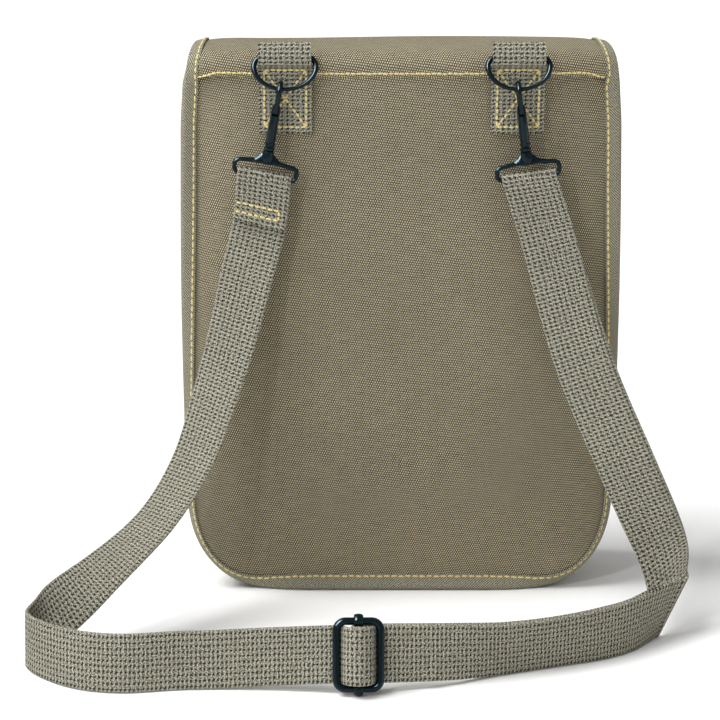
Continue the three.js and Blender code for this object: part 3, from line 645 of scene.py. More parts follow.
class Bench:
    """One hard piece, modelled in edit mode, in millimetres."""

    weld: float = 0.004

    def __init__(self, name: str) -> None:
        """Starts an empty mesh with nothing else selected."""
        bpy.ops.object.select_all(action="DESELECT")
        self.work = bpy.data.objects.new(name, bpy.data.meshes.new(name))
        bpy.context.scene.collection.objects.link(self.work)
        bpy.context.view_layer.objects.active = self.work
        self.work.select_set(True)
        bpy.ops.object.mode_set(mode="EDIT")
        self.centre = vec(0, 0, 0)
        self.radius = 1.0

    def disc(self, radius: float, sides: int, centre: Array, heading: Array, filled: bool = True) -> None:
        """Adds a circle that faces along a heading.

        Args:
            radius: Its radius.
            sides: Its number of sides.
            centre: Its place.
            heading: The way it faces.
            filled: Whether it has a face.
        """
        bpy.ops.mesh.select_all(action="DESELECT")
        turn = Vector((0, 0, 1)).rotation_difference(Vector(heading)).to_euler()
        bpy.ops.mesh.primitive_circle_add(
            vertices=sides, radius=radius, fill_type="NGON" if filled else "NOTHING",
            location=tuple(centre), rotation=turn,
        )
        self.centre = centre
        self.radius = radius

    def push_to(self, centre: Array, radius: float) -> None:
        """Extrudes the selected ring to a new place and radius."""
        move = tuple(centre - self.centre)
        bpy.ops.mesh.extrude_region_move(TRANSFORM_OT_translate={"value": move})
        grow = radius / self.radius
        bpy.ops.transform.resize(value=(grow, grow, grow), center_override=tuple(centre))
        self.centre = centre
        self.radius = radius

    def turned(self, rows: Sequence[Pair], sides: int, axis: Array, base: Array) -> None:
        """Adds a round piece by extruding a disc through its rows.

        Args:
            rows: Radius and distance along the axis, from one end to the other.
            sides: Its number of sides.
            axis: Its axis.
            base: The axis's start.
        """
        self.disc(rows[0][0], sides, base + axis * rows[0][1], axis)
        for radius, along in rows[1:]:
            self.push_to(base + axis * along, radius)

    def block(self, size: Sequence[float], centre: Sequence[float], bevel: float) -> None:
        """Adds a box with rounded edges.

        Args:
            size: Its three sizes.
            centre: Its place.
            bevel: How much its edges are rounded.
        """
        bpy.ops.mesh.select_all(action="DESELECT")
        bpy.ops.mesh.primitive_cube_add(size=1, location=tuple(centre))
        bpy.ops.transform.resize(value=tuple(size), center_override=tuple(centre))
        bpy.ops.mesh.bevel(offset=bevel, segments=3, affect="EDGES")

    def select(self, test: Callable[[Vector], bool]) -> None:
        """Selects only the points that pass a test of their place."""
        bpy.ops.mesh.select_mode(type="VERT")
        bpy.ops.mesh.select_all(action="DESELECT")
        cage = bmesh.from_edit_mesh(self.work.data)
        for point in cage.verts:
            point.select_set(test(point.co))
        cage.select_flush(True)
        bmesh.update_edit_mesh(self.work.data)

    def stretch(self, value: Sequence[float], centre: Sequence[float] = (0, 0, 0)) -> None:
        """Resizes what is selected about a centre."""
        bpy.ops.transform.resize(value=tuple(value), center_override=tuple(centre))

    def flatten_all(self, value: Sequence[float]) -> None:
        """Resizes the whole piece about the origin."""
        bpy.ops.mesh.select_all(action="SELECT")
        self.stretch(value)

    def close(self) -> None:
        """Welds the piece and leaves edit mode."""
        bpy.ops.mesh.select_all(action="SELECT")
        bpy.ops.mesh.remove_doubles(threshold=self.weld)
        bpy.ops.mesh.normals_make_consistent(inside=False)
        bpy.ops.object.mode_set(mode="OBJECT")

    def piece(self, material: Material, sharp: float = 40.0) -> Piece:
        """Closes the piece and brings it to metres.

        Args:
            material: Its finish.
            sharp: Edges steeper than this many degrees stay sharp.
        Returns:
            The object.
        """
        self.close()
        bpy.ops.object.shade_smooth_by_angle(angle=math.radians(sharp))
        self.work.data.materials.append(material)
        self.work.data.transform(Matrix.Scale(METRES, 4))
        return self.work

    def cut(self, cutter: Piece) -> None:
        """Cuts another piece out of this one."""
        self.close()
        modifier = self.work.modifiers.new("cut", "BOOLEAN")
        modifier.operation = "DIFFERENCE"
        modifier.solver = "EXACT"
        modifier.use_self = True
        modifier.object = cutter
        bpy.ops.object.modifier_apply(modifier=modifier.name)
        bpy.data.objects.remove(cutter)
        bpy.ops.object.mode_set(mode="EDIT")


class WireBender(Bench):
    """Wire that is bent in the local XZ plane, by straight runs and spun turns."""

    def start(self, radius: float, at: Array, heading: float, sides: int = 16, filled: bool = False) -> None:
        """Cuts the wire's first end, which heads some degrees from +X towards +Z."""
        self.heading = math.radians(heading)
        self.disc(radius, sides, at, self.ahead(), filled)

    def ahead(self) -> Array:
        """The way that the wire goes."""
        return vec(math.cos(self.heading), 0, math.sin(self.heading))

    def left(self) -> Array:
        """The way to the wire's left."""
        return vec(-math.sin(self.heading), 0, math.cos(self.heading))

    def straight(self, length: float) -> None:
        """A straight run."""
        self.push_to(self.centre + self.ahead() * length, self.radius)

    def turn(self, radius: float, degrees: float, steps: int) -> None:
        """A turn towards the left.

        Args:
            radius: The radius of the bend.
            degrees: How far it turns.
            steps: How many steps it takes.
        """
        pivot = self.centre + self.left() * radius
        bpy.ops.mesh.spin(steps=steps, angle=math.radians(degrees), center=tuple(pivot), axis=(0, 1, 0))
        self.heading += math.radians(degrees)
        self.centre = pivot - self.left() * radius


def placed(piece: Piece, name: str, matrix: Matrix) -> Piece:
    """A copy of a modelled piece in its place, with a mesh of its own.

    Args:
        piece: The piece, in its own frame.
        name: The copy's name.
        matrix: Its place, in metres.
    Returns:
        The copy.
    """
    copy = bpy.data.objects.new(name, piece.data.copy())
    copy.data.name = name
    copy.data.transform(matrix)
    bpy.context.scene.collection.objects.link(copy)
    return copy


def place_matrix(origin: Sequence[float], turn: Matrix) -> Matrix:
    """A place in metres from an origin in millimetres and a turn."""
    return Matrix.Translation(Vector(origin) * METRES) @ turn.to_4x4()


@dataclass
class EdgeLine:
    """A line along a cloth's edge: places, the way out, the outer face's normal, and the tape's sizes there.

    A place's sizes are half the height of the cloth in the fold, and the tape's reach outside and inside.
    """

    places: Array
    out: Array
    normal: Array
    sizes: Array

    @classmethod
    def chain(cls, lines: Sequence["EdgeLine"]) -> "EdgeLine":
        """One line from several in order."""
        return cls(*(
            np.concatenate([getattr(line, name) for line in lines])
            for name in ("places", "out", "normal", "sizes")
        ))

    def even(self, step: float, closed: bool, soften: float = 0.0) -> "EdgeLine":
        """The line with even steps.

        Args:
            step: The distance between places.
            closed: Whether the last place meets the first.
            soften: How far a bend is smoothed, along the line.
        Returns:
            The new line.
        """
        values = [self.places, self.out, self.normal, self.sizes]
        if closed:
            values = [np.vstack([value, value[:1]]) for value in values]
        run = run_lengths(values[0])
        count = max(2, round(run[-1] / step))
        at = np.linspace(0, run[-1], count + 1)[: count if closed else count + 1]
        new = [read_along(run, value, at) for value in values]
        reach = round(soften / step)
        if reach:
            kernel = np.hanning(2 * reach + 3)[1:-1]
            kernel /= kernel.sum()
            mode = "wrap" if closed else "edge"
            new = [
                np.stack([
                    np.convolve(np.pad(value[:, k], reach, mode=mode), kernel, "valid")
                    for k in range(value.shape[1])
                ], 1)
                for value in new
            ]
        return EdgeLine(new[0], unit(new[1]), unit(new[2]), new[3])

    def at(self, out: Union[float, Array], up: Union[float, Array]) -> Array:
        """Places off the line, by a distance outwards and up the normal."""
        return self.places + self.out * np.reshape(out, (-1, 1)) + self.normal * np.reshape(up, (-1, 1))


@dataclass(frozen=True)
class CaseForm:
    """The stuffed case's form: its seam outline, its depth and how far its panels swell."""

    bottom: float = 7.3
    top: float = 266.5
    front_top: float = 253.0
    half_low: float = 106.2
    half_high: float = 103.0
    taper_from: float = 80.0
    top_taper: float = 1.0
    top_taper_from: float = 242.0
    corner_across: float = 34.0
    corner_up: float = 48.0
    corner_power: float = 2.3
    depth_low: float = 30.0
    depth_high: float = 26.5
    swell_back: float = 12.0
    swell_front: float = 7.0
    swell_reach: float = 22.0
    seam_allowance: float = 5.0

    def half(self, z: Array) -> Array:
        """Half the width between the side seams at a height."""
        share = np.clip((z - self.taper_from) / (self.top - self.taper_from), 0, 1)
        drawn = self.top_taper * smoothstep(z, self.top_taper_from, self.top)
        return lerp(self.half_low, self.half_high, share) - drawn

    def floor(self, x: Array) -> Array:
        """The seam's lowest height at a place across."""
        share = np.clip((np.abs(x) - self.half_low + self.corner_across) / self.corner_across, 0, 1)
        return self.bottom + self.corner_up * (1 - (1 - share**self.corner_power) ** (1 / self.corner_power))

    def depth(self, z: Array) -> Array:
        """Distance of the seams from the middle plane."""
        return lerp(self.depth_low, self.depth_high, np.asarray(z) / self.top)

    def fullness(self, inset: Array) -> Array:
        """The share of the swell at a distance inside a seam."""
        return 1 - np.exp(-np.maximum(inset, 0) / self.swell_reach)

    def panel(self, swell: float, x: Array, z: Array) -> Array:
        """A panel's distance from the middle plane."""
        inside = self.fullness(self.half(z) - np.abs(x)) * self.fullness(z - self.floor(x))
        return self.depth(z) + swell * inside


FORM = CaseForm()
GAP = 0.3
CANVAS_THICKNESS = 1.2
LAYER = CANVAS_THICKNESS + GAP


def canvas_piece(sheet: Cloth, node: str, finishes: Finishes) -> Piece:
    """A canvas sheet as the piece that stands for a node."""
    skin = sheet.shell(CANVAS_THICKNESS)
    return settle(skin.piece(f"{node}_canvas", finishes.canvas), [node])


@dataclass
class CasePanels:
    """The back and front panels and the gusset between them."""

    columns: int = 61
    rows: int = 84
    top_rows: int = 4
    foot_crowding: float = 1.15
    panel_top: float = 274.0
    tape_reach: Pair = (5.4, 2.6)
    side_turn: Pair = (-52.0, 12.0)
    side_rise: Pair = (40.0, 230.0)
    base_turn: float = 30.0
    base_reach: Pair = (-98.0, -46.0)
    gusset_columns: int = 29
    gusset_puff: float = 1.2
    gusset_plateau: float = 0.25
    gusset_settle: float = 6.0
    buckle: float = 0.9
    buckle_pitch: float = 37.0
    buckle_sway: Pair = (0.8, 17.0)
    pucker: float = 0.3
    pucker_reach: float = 8.0
    pucker_free: Pair = (0.5, 4.0)
    side_pitch: float = 3.1
    side_sway: Pair = (2.0, 23.0)
    foot_pitch: float = 3.4
    foot_sway: Pair = (2.0, 27.0)
    wave: float = 0.7
    wave_free: Pair = (0.0, 30.0)
    wave_across: float = 31.0
    wave_sway: Pair = (0.6, 47.0)
    wave_up: Pair = (58.0, 0.9)
    wave_slanted: Triple = (0.6, 0.7, 43.0)

    def relief(self, x: Array, z: Array) -> Array:
        """Slight puckers beside the seams and slow waves over a panel.

        Args:
            x: Places across.
            z: Heights.
        Returns:
            How far the cloth stands out there.
        """
        side = FORM.half(z) - np.abs(x)
        foot = z - FORM.floor(x)
        inset = np.minimum(side, foot)
        by_side = np.sin(z / self.side_pitch + sway(z, self.side_sway) + np.sign(x))
        by_foot = np.sin(x / self.foot_pitch + sway(x, self.foot_sway))
        puckers = np.exp(-side / self.pucker_reach) * by_side + np.exp(-foot / self.pucker_reach) * by_foot
        pitch, start = self.wave_up
        share, slant, slanted_pitch = self.wave_slanted
        slow = np.sin(x / self.wave_across + sway(z, self.wave_sway)) * np.sin(z / pitch + start)
        slow = slow + share * np.sin((x + slant * z) / slanted_pitch)
        waves = smoothstep(inset, *self.wave_free) * slow
        return self.pucker * smoothstep(inset, *self.pucker_free) * puckers + self.wave * waves

    def grid(self, side: int, swell: float, top: float, extra_top: float) -> Array:
        """Rows of points of a panel, from its foot up.

        Args:
            side: -1 for the back and 1 for the front.
            swell: How far it swells.
            top: The top of its seam.
            extra_top: The top of its cloth.
        Returns:
            The points. Rows above its seam come last.
        """
        u = crowded(self.columns)
        foot = FORM.floor(u * FORM.half_low)
        rise = np.linspace(0, 1, self.rows)[:, None] ** self.foot_crowding
        z = lerp(foot[None, :], top, rise)
        if extra_top > top:
            more = np.linspace(top, extra_top, self.top_rows)[1:, None] + 0 * u[None, :]
            z = np.vstack([z, more])
        x = u[None, :] * FORM.half(z)
        out = FORM.panel(swell, u[None, :] * FORM.half_low + 0 * z, z) + self.relief(x, z)
        return np.stack([x, side * out, z], axis=-1)

    def seam(self, points: Array, side: int) -> tuple[EdgeLine, Array]:
        """A panel's seam: down the left side, along the foot and up the right side.

        Args:
            points: Rows of the panel's points.
            side: -1 for the back and 1 for the front.
        Returns:
            The seam's line, and the number of each of its points in the panel.
        """
        index = numbered(points)
        sewn = index[1:self.rows]
        order = np.concatenate([sewn[::-1, 0], index[0], sewn[:, -1]])
        places = points.reshape(-1, 3)[order]
        along = unit(np.gradient(places, axis=0) * vec(1, 0, 1))
        sideways = np.stack([along[:, 2], 0 * along[:, 0], -along[:, 0]], 1)
        side_turn = lerp(*self.side_turn, smoothstep(places[:, 2], *self.side_rise))
        base = smoothstep(-np.abs(places[:, 0]), *self.base_reach)
        turn = np.radians(lerp(side_turn, self.base_turn, base))[:, None]
        ahead = vec(0, side, 0)
        out = sideways * np.cos(turn) + ahead * np.sin(turn)
        normal = -sideways * np.sin(turn) + ahead * np.cos(turn)
        sizes = np.tile(vec(LAYER / 2 + CANVAS_THICKNESS / 2 + GAP, *self.tape_reach), (len(places), 1))
        return EdgeLine(places, out, normal, sizes), order

    def panel(self, side: int, swell: float, top: float, extra_top: float) -> tuple[Cloth, EdgeLine]:
        """A panel with its seam allowance.

        Args:
            side: -1 for the back and 1 for the front.
            swell: How far it swells.
            top: The top of its seam.
            extra_top: The top of its cloth.
        Returns:
            The middle sheet and the seam's line.
        """
        points = self.grid(side, swell, top, extra_top)
        drop = run_lengths(points[::-1])[::-1]
        sheet = Cloth.grid(points, np.stack([from_middle(points), extra_top - drop], -1))
        if side > 0:
            sheet.faces = sheet.faces[:, ::-1]
        line, order = self.seam(points, side)
        edge = line.at(FORM.seam_allowance, 0)
        new = np.arange(len(order)) + len(sheet.points)
        fin = np.stack([new[:-1], new[1:], order[1:], order[:-1]], 1)
        fin = fin if side < 0 else fin[:, ::-1]
        spread = np.stack([line.out[:, 0], line.out[:, 2]], 1) * FORM.seam_allowance
        return sheet.joined(fin, edge, sheet.flat[order] + spread), line

    def gusset(self, back: EdgeLine, front: EdgeLine) -> Cloth:
        """The strip between the two seams, which makes the sides and the base.

        Args:
            back: The back seam.
            front: The front seam.
        Returns:
            The middle sheet.
        """
        share = np.linspace(0, 1, self.gusset_columns)[None, :, None]
        start = back.at(0, -LAYER)[:, None]
        end = front.at(0, -LAYER)[:, None]
        level = smoothstep(np.minimum(share, 1 - share), 0, self.gusset_plateau)
        sideways = unit(back.out * vec(1, 0, 1))[:, None]
        down = np.maximum(-sideways[..., 2:], 0)
        run = run_lengths(back.places)[:, None, None]
        swing = np.sin(run / self.buckle_pitch + sway(run, self.buckle_sway)) * np.sin(share * np.pi)
        puff = self.gusset_puff * level * (1 + (1 - down) * self.buckle * swing)
        strip = lerp(start, end, share) + sideways * puff
        settled = level * down**self.gusset_settle
        strip[..., 2:] = lerp(strip[..., 2:], CANVAS_THICKNESS / 2, settled)
        edges = [line.at(FORM.seam_allowance, -LAYER)[:, None] for line in (back, front)]
        points = np.concatenate([edges[0], strip, edges[1]], axis=1)
        across = run_lengths(points.transpose(1, 0, 2)).T
        return Cloth.grid(points, np.stack([across, run[:, 0] + 0 * across], -1))

    def build(self, finishes: Finishes) -> tuple[EdgeLine, EdgeLine]:
        """Makes the three pieces.

        Args:
            finishes: The case's materials.
        Returns:
            The back and front seams' lines.
        """
        back, back_line = self.panel(-1, FORM.swell_back, FORM.top, self.panel_top)
        front, front_line = self.panel(1, FORM.swell_front, FORM.front_top, FORM.front_top)
        sheets = {"back_panel": back, "front_panel": front, "gusset": self.gusset(back_line, front_line)}
        back_piece, front_piece, gusset = (
            canvas_piece(sheet, node, finishes) for node, sheet in sheets.items()
        )
        return back_line, front_line


@dataclass
class Flap:
    """The flap: sewn to the back, over the top and down the front, with rounded lower corners.

    A back row is one line across it: depth as a share of the case's half depth, height, how much the sides
    droop, its width's share and its shift to the right. A front row is depth and the share of the drop to
    the hem.
    """

    half: float = 108.4
    front_depth: float = 35.4
    front_swell: float = 7.0
    hem: float = 40.0
    corner: float = 38.0
    droop_power: float = 11.0
    columns: int = 61
    steps: int = 8
    edge: float = 5.8
    wave: float = 0.5
    wave_side: Pair = (4.0, 40.0)
    wave_drop: Pair = (20.0, 60.0)
    wave_pitch: Pair = (29.0, 41.0)
    wave_slanted: Pair = (0.7, 53.0)
    back_rows: tuple[FlapRow, ...] = (
        (-0.973, 268.4, 0.0, 0.986, 0.5),
        (-1.0, 274.4, 0.4, 0.978, 0.5),
        (-0.92, 279.0, 1.2, 0.971, 0.5),
        (-0.66, 282.6, 2.0, 0.964, 0.4),
        (-0.25, 284.6, 2.6, 0.957, 0.3),
        (0.25, 283.8, 2.6, 0.957, 0.2),
        (0.68, 279.5, 2.0, 0.965, 0.1),
        (0.93, 271.0, 1.2, 0.985, 0.0),
        (1.0, 258.0, 0.0, 1.0, 0.0),
    )
    front_rows: Profile = (
        (1.02, 0.2), (1.03, 0.45), (1.01, 0.72), (0.99, 0.9), (0.97, 1.0),
    )

    def hem_height(self, u: Array) -> Array:
        """The height of the rounded hem at a share of the half width."""
        share = np.clip((np.abs(u) * self.half - self.half + self.corner) / self.corner, 0, 1)
        return self.hem + self.corner * (1 - np.sqrt(1 - share**2))

    def back_depth(self, u: Array) -> Array:
        """Distance of the sheet from the middle plane on the back, at a share of the half width."""
        bulge = FORM.fullness((1 - np.abs(u)) * self.half)
        return FORM.depth(FORM.top) + FORM.swell_back * bulge + LAYER

    def points(self, u: Array, places: Array) -> Array:
        """Points of the flap's middle sheet.

        Args:
            u: Shares of the half width.
            places: Places along the rows, counted in rows from the sewn edge.
        Returns:
            Rows of points.
        """
        top = self.back_rows[-1][1]
        rows = [(depth, np.full_like(u, z), *rest) for depth, z, *rest in self.back_rows]
        hem = self.hem_height(u)
        rows += [(depth, lerp(top, hem, drop), 0.0, 1.0, 0.0) for depth, drop in self.front_rows]
        back = self.back_depth(u)
        front = self.front_depth + self.front_swell * FORM.fullness((1 - np.abs(u)) * self.half)
        lines = np.stack([
            np.stack([
                u * self.half * wide + shift, depth * (back if depth < 0 else front),
                z - droop * np.abs(u) ** self.droop_power,
            ], -1)
            for depth, z, droop, wide, shift in rows
        ])
        return np.stack([smooth_line(lines[:, k], places) for k in range(len(u))], axis=1)

    def sheet(self) -> tuple[Cloth, EdgeLine, Array]:
        """The flap's cloth.

        Returns:
            The middle sheet, its free edge from the right of the back round to the left, and its rows of
            points.
        """
        u = crowded(self.columns)
        last = len(self.back_rows) + len(self.front_rows) - 1
        points = self.points(u, np.linspace(0, last, last * self.steps + 1))
        drop = run_lengths(points)
        x = points[..., 0]
        free = smoothstep(self.half - np.abs(x), *self.wave_side) * smoothstep(drop, *self.wave_drop)
        slow = np.sin(x / self.wave_pitch[0] + 1) * np.sin(drop / self.wave_pitch[1])
        slow = slow + sway(x - drop, self.wave_slanted)
        sheet = Cloth.grid(points, np.stack([from_middle(points), drop], -1))
        sheet.points = sheet.points + sheet.normals() * (self.wave * free * slow).reshape(-1, 1)
        index = numbered(points)
        order = np.concatenate([index[:, -1], index[-1, ::-1][1:], index[::-1, 0][1:]])
        places = sheet.points[order]
        along = unit(np.gradient(places, axis=0))
        high, wide = index.shape
        row, column = np.divmod(order, wide)
        inner = index[np.minimum(row, high - 3), np.clip(column, 2, wide - 3)]
        normal = unit(np.cross(along, sheet.points[inner] - places))
        out = unit(np.cross(along, normal))
        sizes = np.tile(vec(CANVAS_THICKNESS / 2 + GAP / 2, self.edge, self.edge), (len(order), 1))
        return sheet, EdgeLine(places, out, normal, sizes), sheet.points.reshape(points.shape)

    def build(self, finishes: Finishes) -> tuple[EdgeLine, Array]:
        """Makes the flap.

        Args:
            finishes: The case's materials.
        Returns:
            Its free edge and its rows of points.
        """
        sheet, line, points = self.sheet()
        piece = canvas_piece(sheet, "flap", finishes)
        return line, points


class Stitcher:
    """Rows of sewing: one stitch is modelled and copied along each row.

    A stitch's row is a radius and a place along it. A swing is a size and a rate from stitch to stitch.
    A box in webbing has its own pitch and thread.
    """

    stitch_rows: Profile = ((0.18, -0.5), (0.42, -0.36), (0.5, 0.0), (0.42, 0.36), (0.18, 0.5))
    stitch_sides: int = 6
    chord: float = 0.4
    swing_aside: Pair = (0.10, 2.3)
    swing_ahead: Pair = (0.04, 3.7)
    swing_length: Pair = (0.05, 1.7)
    dip: float = 0.9
    flatness: float = 0.75
    sharp: float = 80.0
    box_stitch: Pair = (3.0, 1.1)

    def __init__(self, finishes: Finishes) -> None:
        """Models the one stitch, a plump thread that thins to both ends, of length and width 1."""
        self.finish = finishes.thread
        bench = Bench("stitch")
        bench.turned(self.stitch_rows, self.stitch_sides, vec(1, 0, 0), vec(0, 0, 0))
        stitch = bench.piece(finishes.thread)
        self.points = np.array([tuple(vertex.co) for vertex in stitch.data.vertices]) / METRES
        self.faces = [tuple(face.vertices) for face in stitch.data.polygons]
        bpy.data.objects.remove(stitch)

    @staticmethod
    def swing(kind: Pair, count: int) -> float:
        """How far a stitch is off, from the swing's size and rate."""
        return kind[0] * math.sin(kind[1] * count)

    def box(self, name: str, runs: Runs) -> Piece:
        """Sews a box in webbing."""
        return self.row(name, runs, *self.box_stitch)

    def row(
        self, name: str, runs: Runs, pitch: float = 3.7, width: float = 1.0,
        lift: float = 0.12, fill: float = 0.8,
    ) -> Piece:
        """Sews one or more rows.

        Args:
            name: The piece's name.
            runs: For each row, its line of places on the cloth's face and the face's normals there.
            pitch: Distance from stitch to stitch.
            width: The thread's thickness.
            lift: How far a stitch's middle stands above the face.
            fill: The share of the pitch that a stitch takes.
        Returns:
            One piece with all the stitches.
        """
        points, flat, faces = [], [], []
        for line, normals in runs:
            run = run_lengths(line)
            count = max(1, round(run[-1] / pitch))
            step = run[-1] / count
            at = (np.arange(count) + 0.5) * step
            places = read_along(run, line, at)
            start, end = (read_along(run, line, at + way * self.chord * step) for way in (-1, 1))
            along = unit(end - start)
            side = unit(np.cross(unit(read_along(run, normals, at)), along))
            up = np.cross(along, side)
            for k in range(count):
                off = self.swing(self.swing_aside, k) * side[k] + self.swing(self.swing_ahead, k) * along[k]
                reach = step * fill * (1 + self.swing(self.swing_length, k))
                bow = lift - self.dip * width * self.points[:, 0] ** 2
                place = (
                    places[k] + np.outer(self.points[:, 0] * reach, along[k])
                    + np.outer(self.points[:, 1] * width, side[k])
                    + np.outer(self.points[:, 2] * width * self.flatness + bow, up[k]) + off
                )
                first = len(points) * len(self.points)
                points.append(place)
                flat.append(np.stack([self.points[:, 0] * reach + k, self.points[:, 1] * width], 1))
                faces += [tuple(index + first for index in face) for face in self.faces]
        mesh = Cloth(np.vstack(points), np.vstack(flat), faces)
        return settle(mesh.piece(name, self.finish, sharp=self.sharp))


@dataclass
class EdgeTape:
    """Twill tape folded over the cloth's edges and sewn through.

    One ring goes round the back and the flap's edge, and one length goes round the front seam.
    """

    thickness: float = 0.8
    step: float = 2.4
    crown: float = 0.9
    bow_places: int = 11
    lap: float = 0.6
    lap_places: int = 4
    stitch_in: float = 1.3
    soften: float = 5.0

    def section(self, half: float, face: float, back: float) -> tuple[Array, Array]:
        """The folded tape's closed outline.

        Args:
            half: Half the height of its fold's middle line.
            face: How far it reaches in on the outside.
            back: How far it reaches in on the inside.
        Returns:
            Places as distances outwards and up, and the distance across the tape at each.
        """
        turn = np.linspace(math.pi / 2, -math.pi / 2, self.bow_places)
        bow = np.stack([self.crown * half * np.cos(turn), half * np.sin(turn)], 1)
        count = self.lap_places
        middle = np.vstack([
            np.stack([np.linspace(-face, -self.lap, count), np.full(count, half)], 1), bow,
            np.stack([np.linspace(-self.lap, -back, count), np.full(count, -half)], 1),
        ])
        along = unit(np.gradient(middle, axis=0))
        side = np.stack([-along[:, 1], along[:, 0]], 1) * (self.thickness / 2)
        run = run_lengths(middle)
        return np.vstack([middle + side, (middle - side)[::-1]]), np.concatenate([run, run[::-1]])

    def skin(self, line: EdgeLine, closed: bool) -> Cloth:
        """Tape along an edge.

        Args:
            line: The edge.
            closed: Whether the edge is a ring.
        Returns:
            The tape's skin.
        """
        rings, flats = [], []
        runs = run_lengths(line.places)
        for k, run in enumerate(runs):
            half, face, back = line.sizes[k]
            section, across = self.section(half + self.thickness / 2, face, back)
            outwards = np.outer(section[:, 0], line.out[k])
            rings.append(line.places[k] + outwards + np.outer(section[:, 1], line.normal[k]))
            flats.append(np.stack([across, np.full(len(across), run)], 1))
        skin = Cloth.tube(np.array(rings), np.array(flats), closed)
        skin.wrap = runs[-1] + self.step if closed else 0.0
        return skin

    def seam_edge(self, line: EdgeLine) -> EdgeLine:
        """The middle of the seam allowances' edge."""
        places = line.at(FORM.seam_allowance, -LAYER / 2)
        return EdgeLine(places, line.out, line.normal, line.sizes)

    def sewing(self, line: EdgeLine, closed: bool) -> Runs:
        """The stitch rows on the tape's two faces.

        Args:
            line: The edge.
            closed: Whether it is a ring.
        Returns:
            Lines of places and normals.
        """
        height = line.sizes[:, 0] + self.thickness
        rows = [
            (line.at(self.stitch_in - line.sizes[:, 1], height), line.normal),
            (line.at(self.stitch_in - line.sizes[:, 2], -height), -line.normal),
        ]
        if closed:
            rows = [(np.vstack([a, a[:1]]), np.vstack([b, b[:1]])) for a, b in rows]
        return rows

    def build(
        self, finishes: Finishes, stitcher: Stitcher, back: EdgeLine, front: EdgeLine, flap: EdgeLine
    ) -> None:
        """Makes both tapes and their stitches.

        Args:
            finishes: The case's materials.
            stitcher: The sewing.
            back: The back seam.
            front: The front seam.
            flap: The flap's free edge.
        """
        ring = EdgeLine.chain([self.seam_edge(back), flap]).even(self.step, True, self.soften)
        tape = self.skin(ring, True).piece("edge_tape", finishes.tape)
        settle(tape, ["back_binding", "flap_binding"])
        stitches = stitcher.row("edge_tape_stitches", self.sewing(ring, True))
        line = self.seam_edge(front).even(self.step, False, self.soften)
        tape = self.skin(line, False).piece("front_tape", finishes.tape)
        settle(tape, ["front_binding"])
        stitches = stitcher.row("front_tape_stitches", self.sewing(line, False))


@dataclass(frozen=True)
class RingPlace:
    """The D-rings' sizes and places."""

    x: float = 57.5
    y: float = -44.0
    z: float = 279.0
    width: float = 30.6
    height: float = 16.0
    wire: float = 1.35
    tilt: float = 14.5
    corner: float = 4.6
    corner_steps: int = 6
    bow_steps: int = 40


RING = RingPlace()


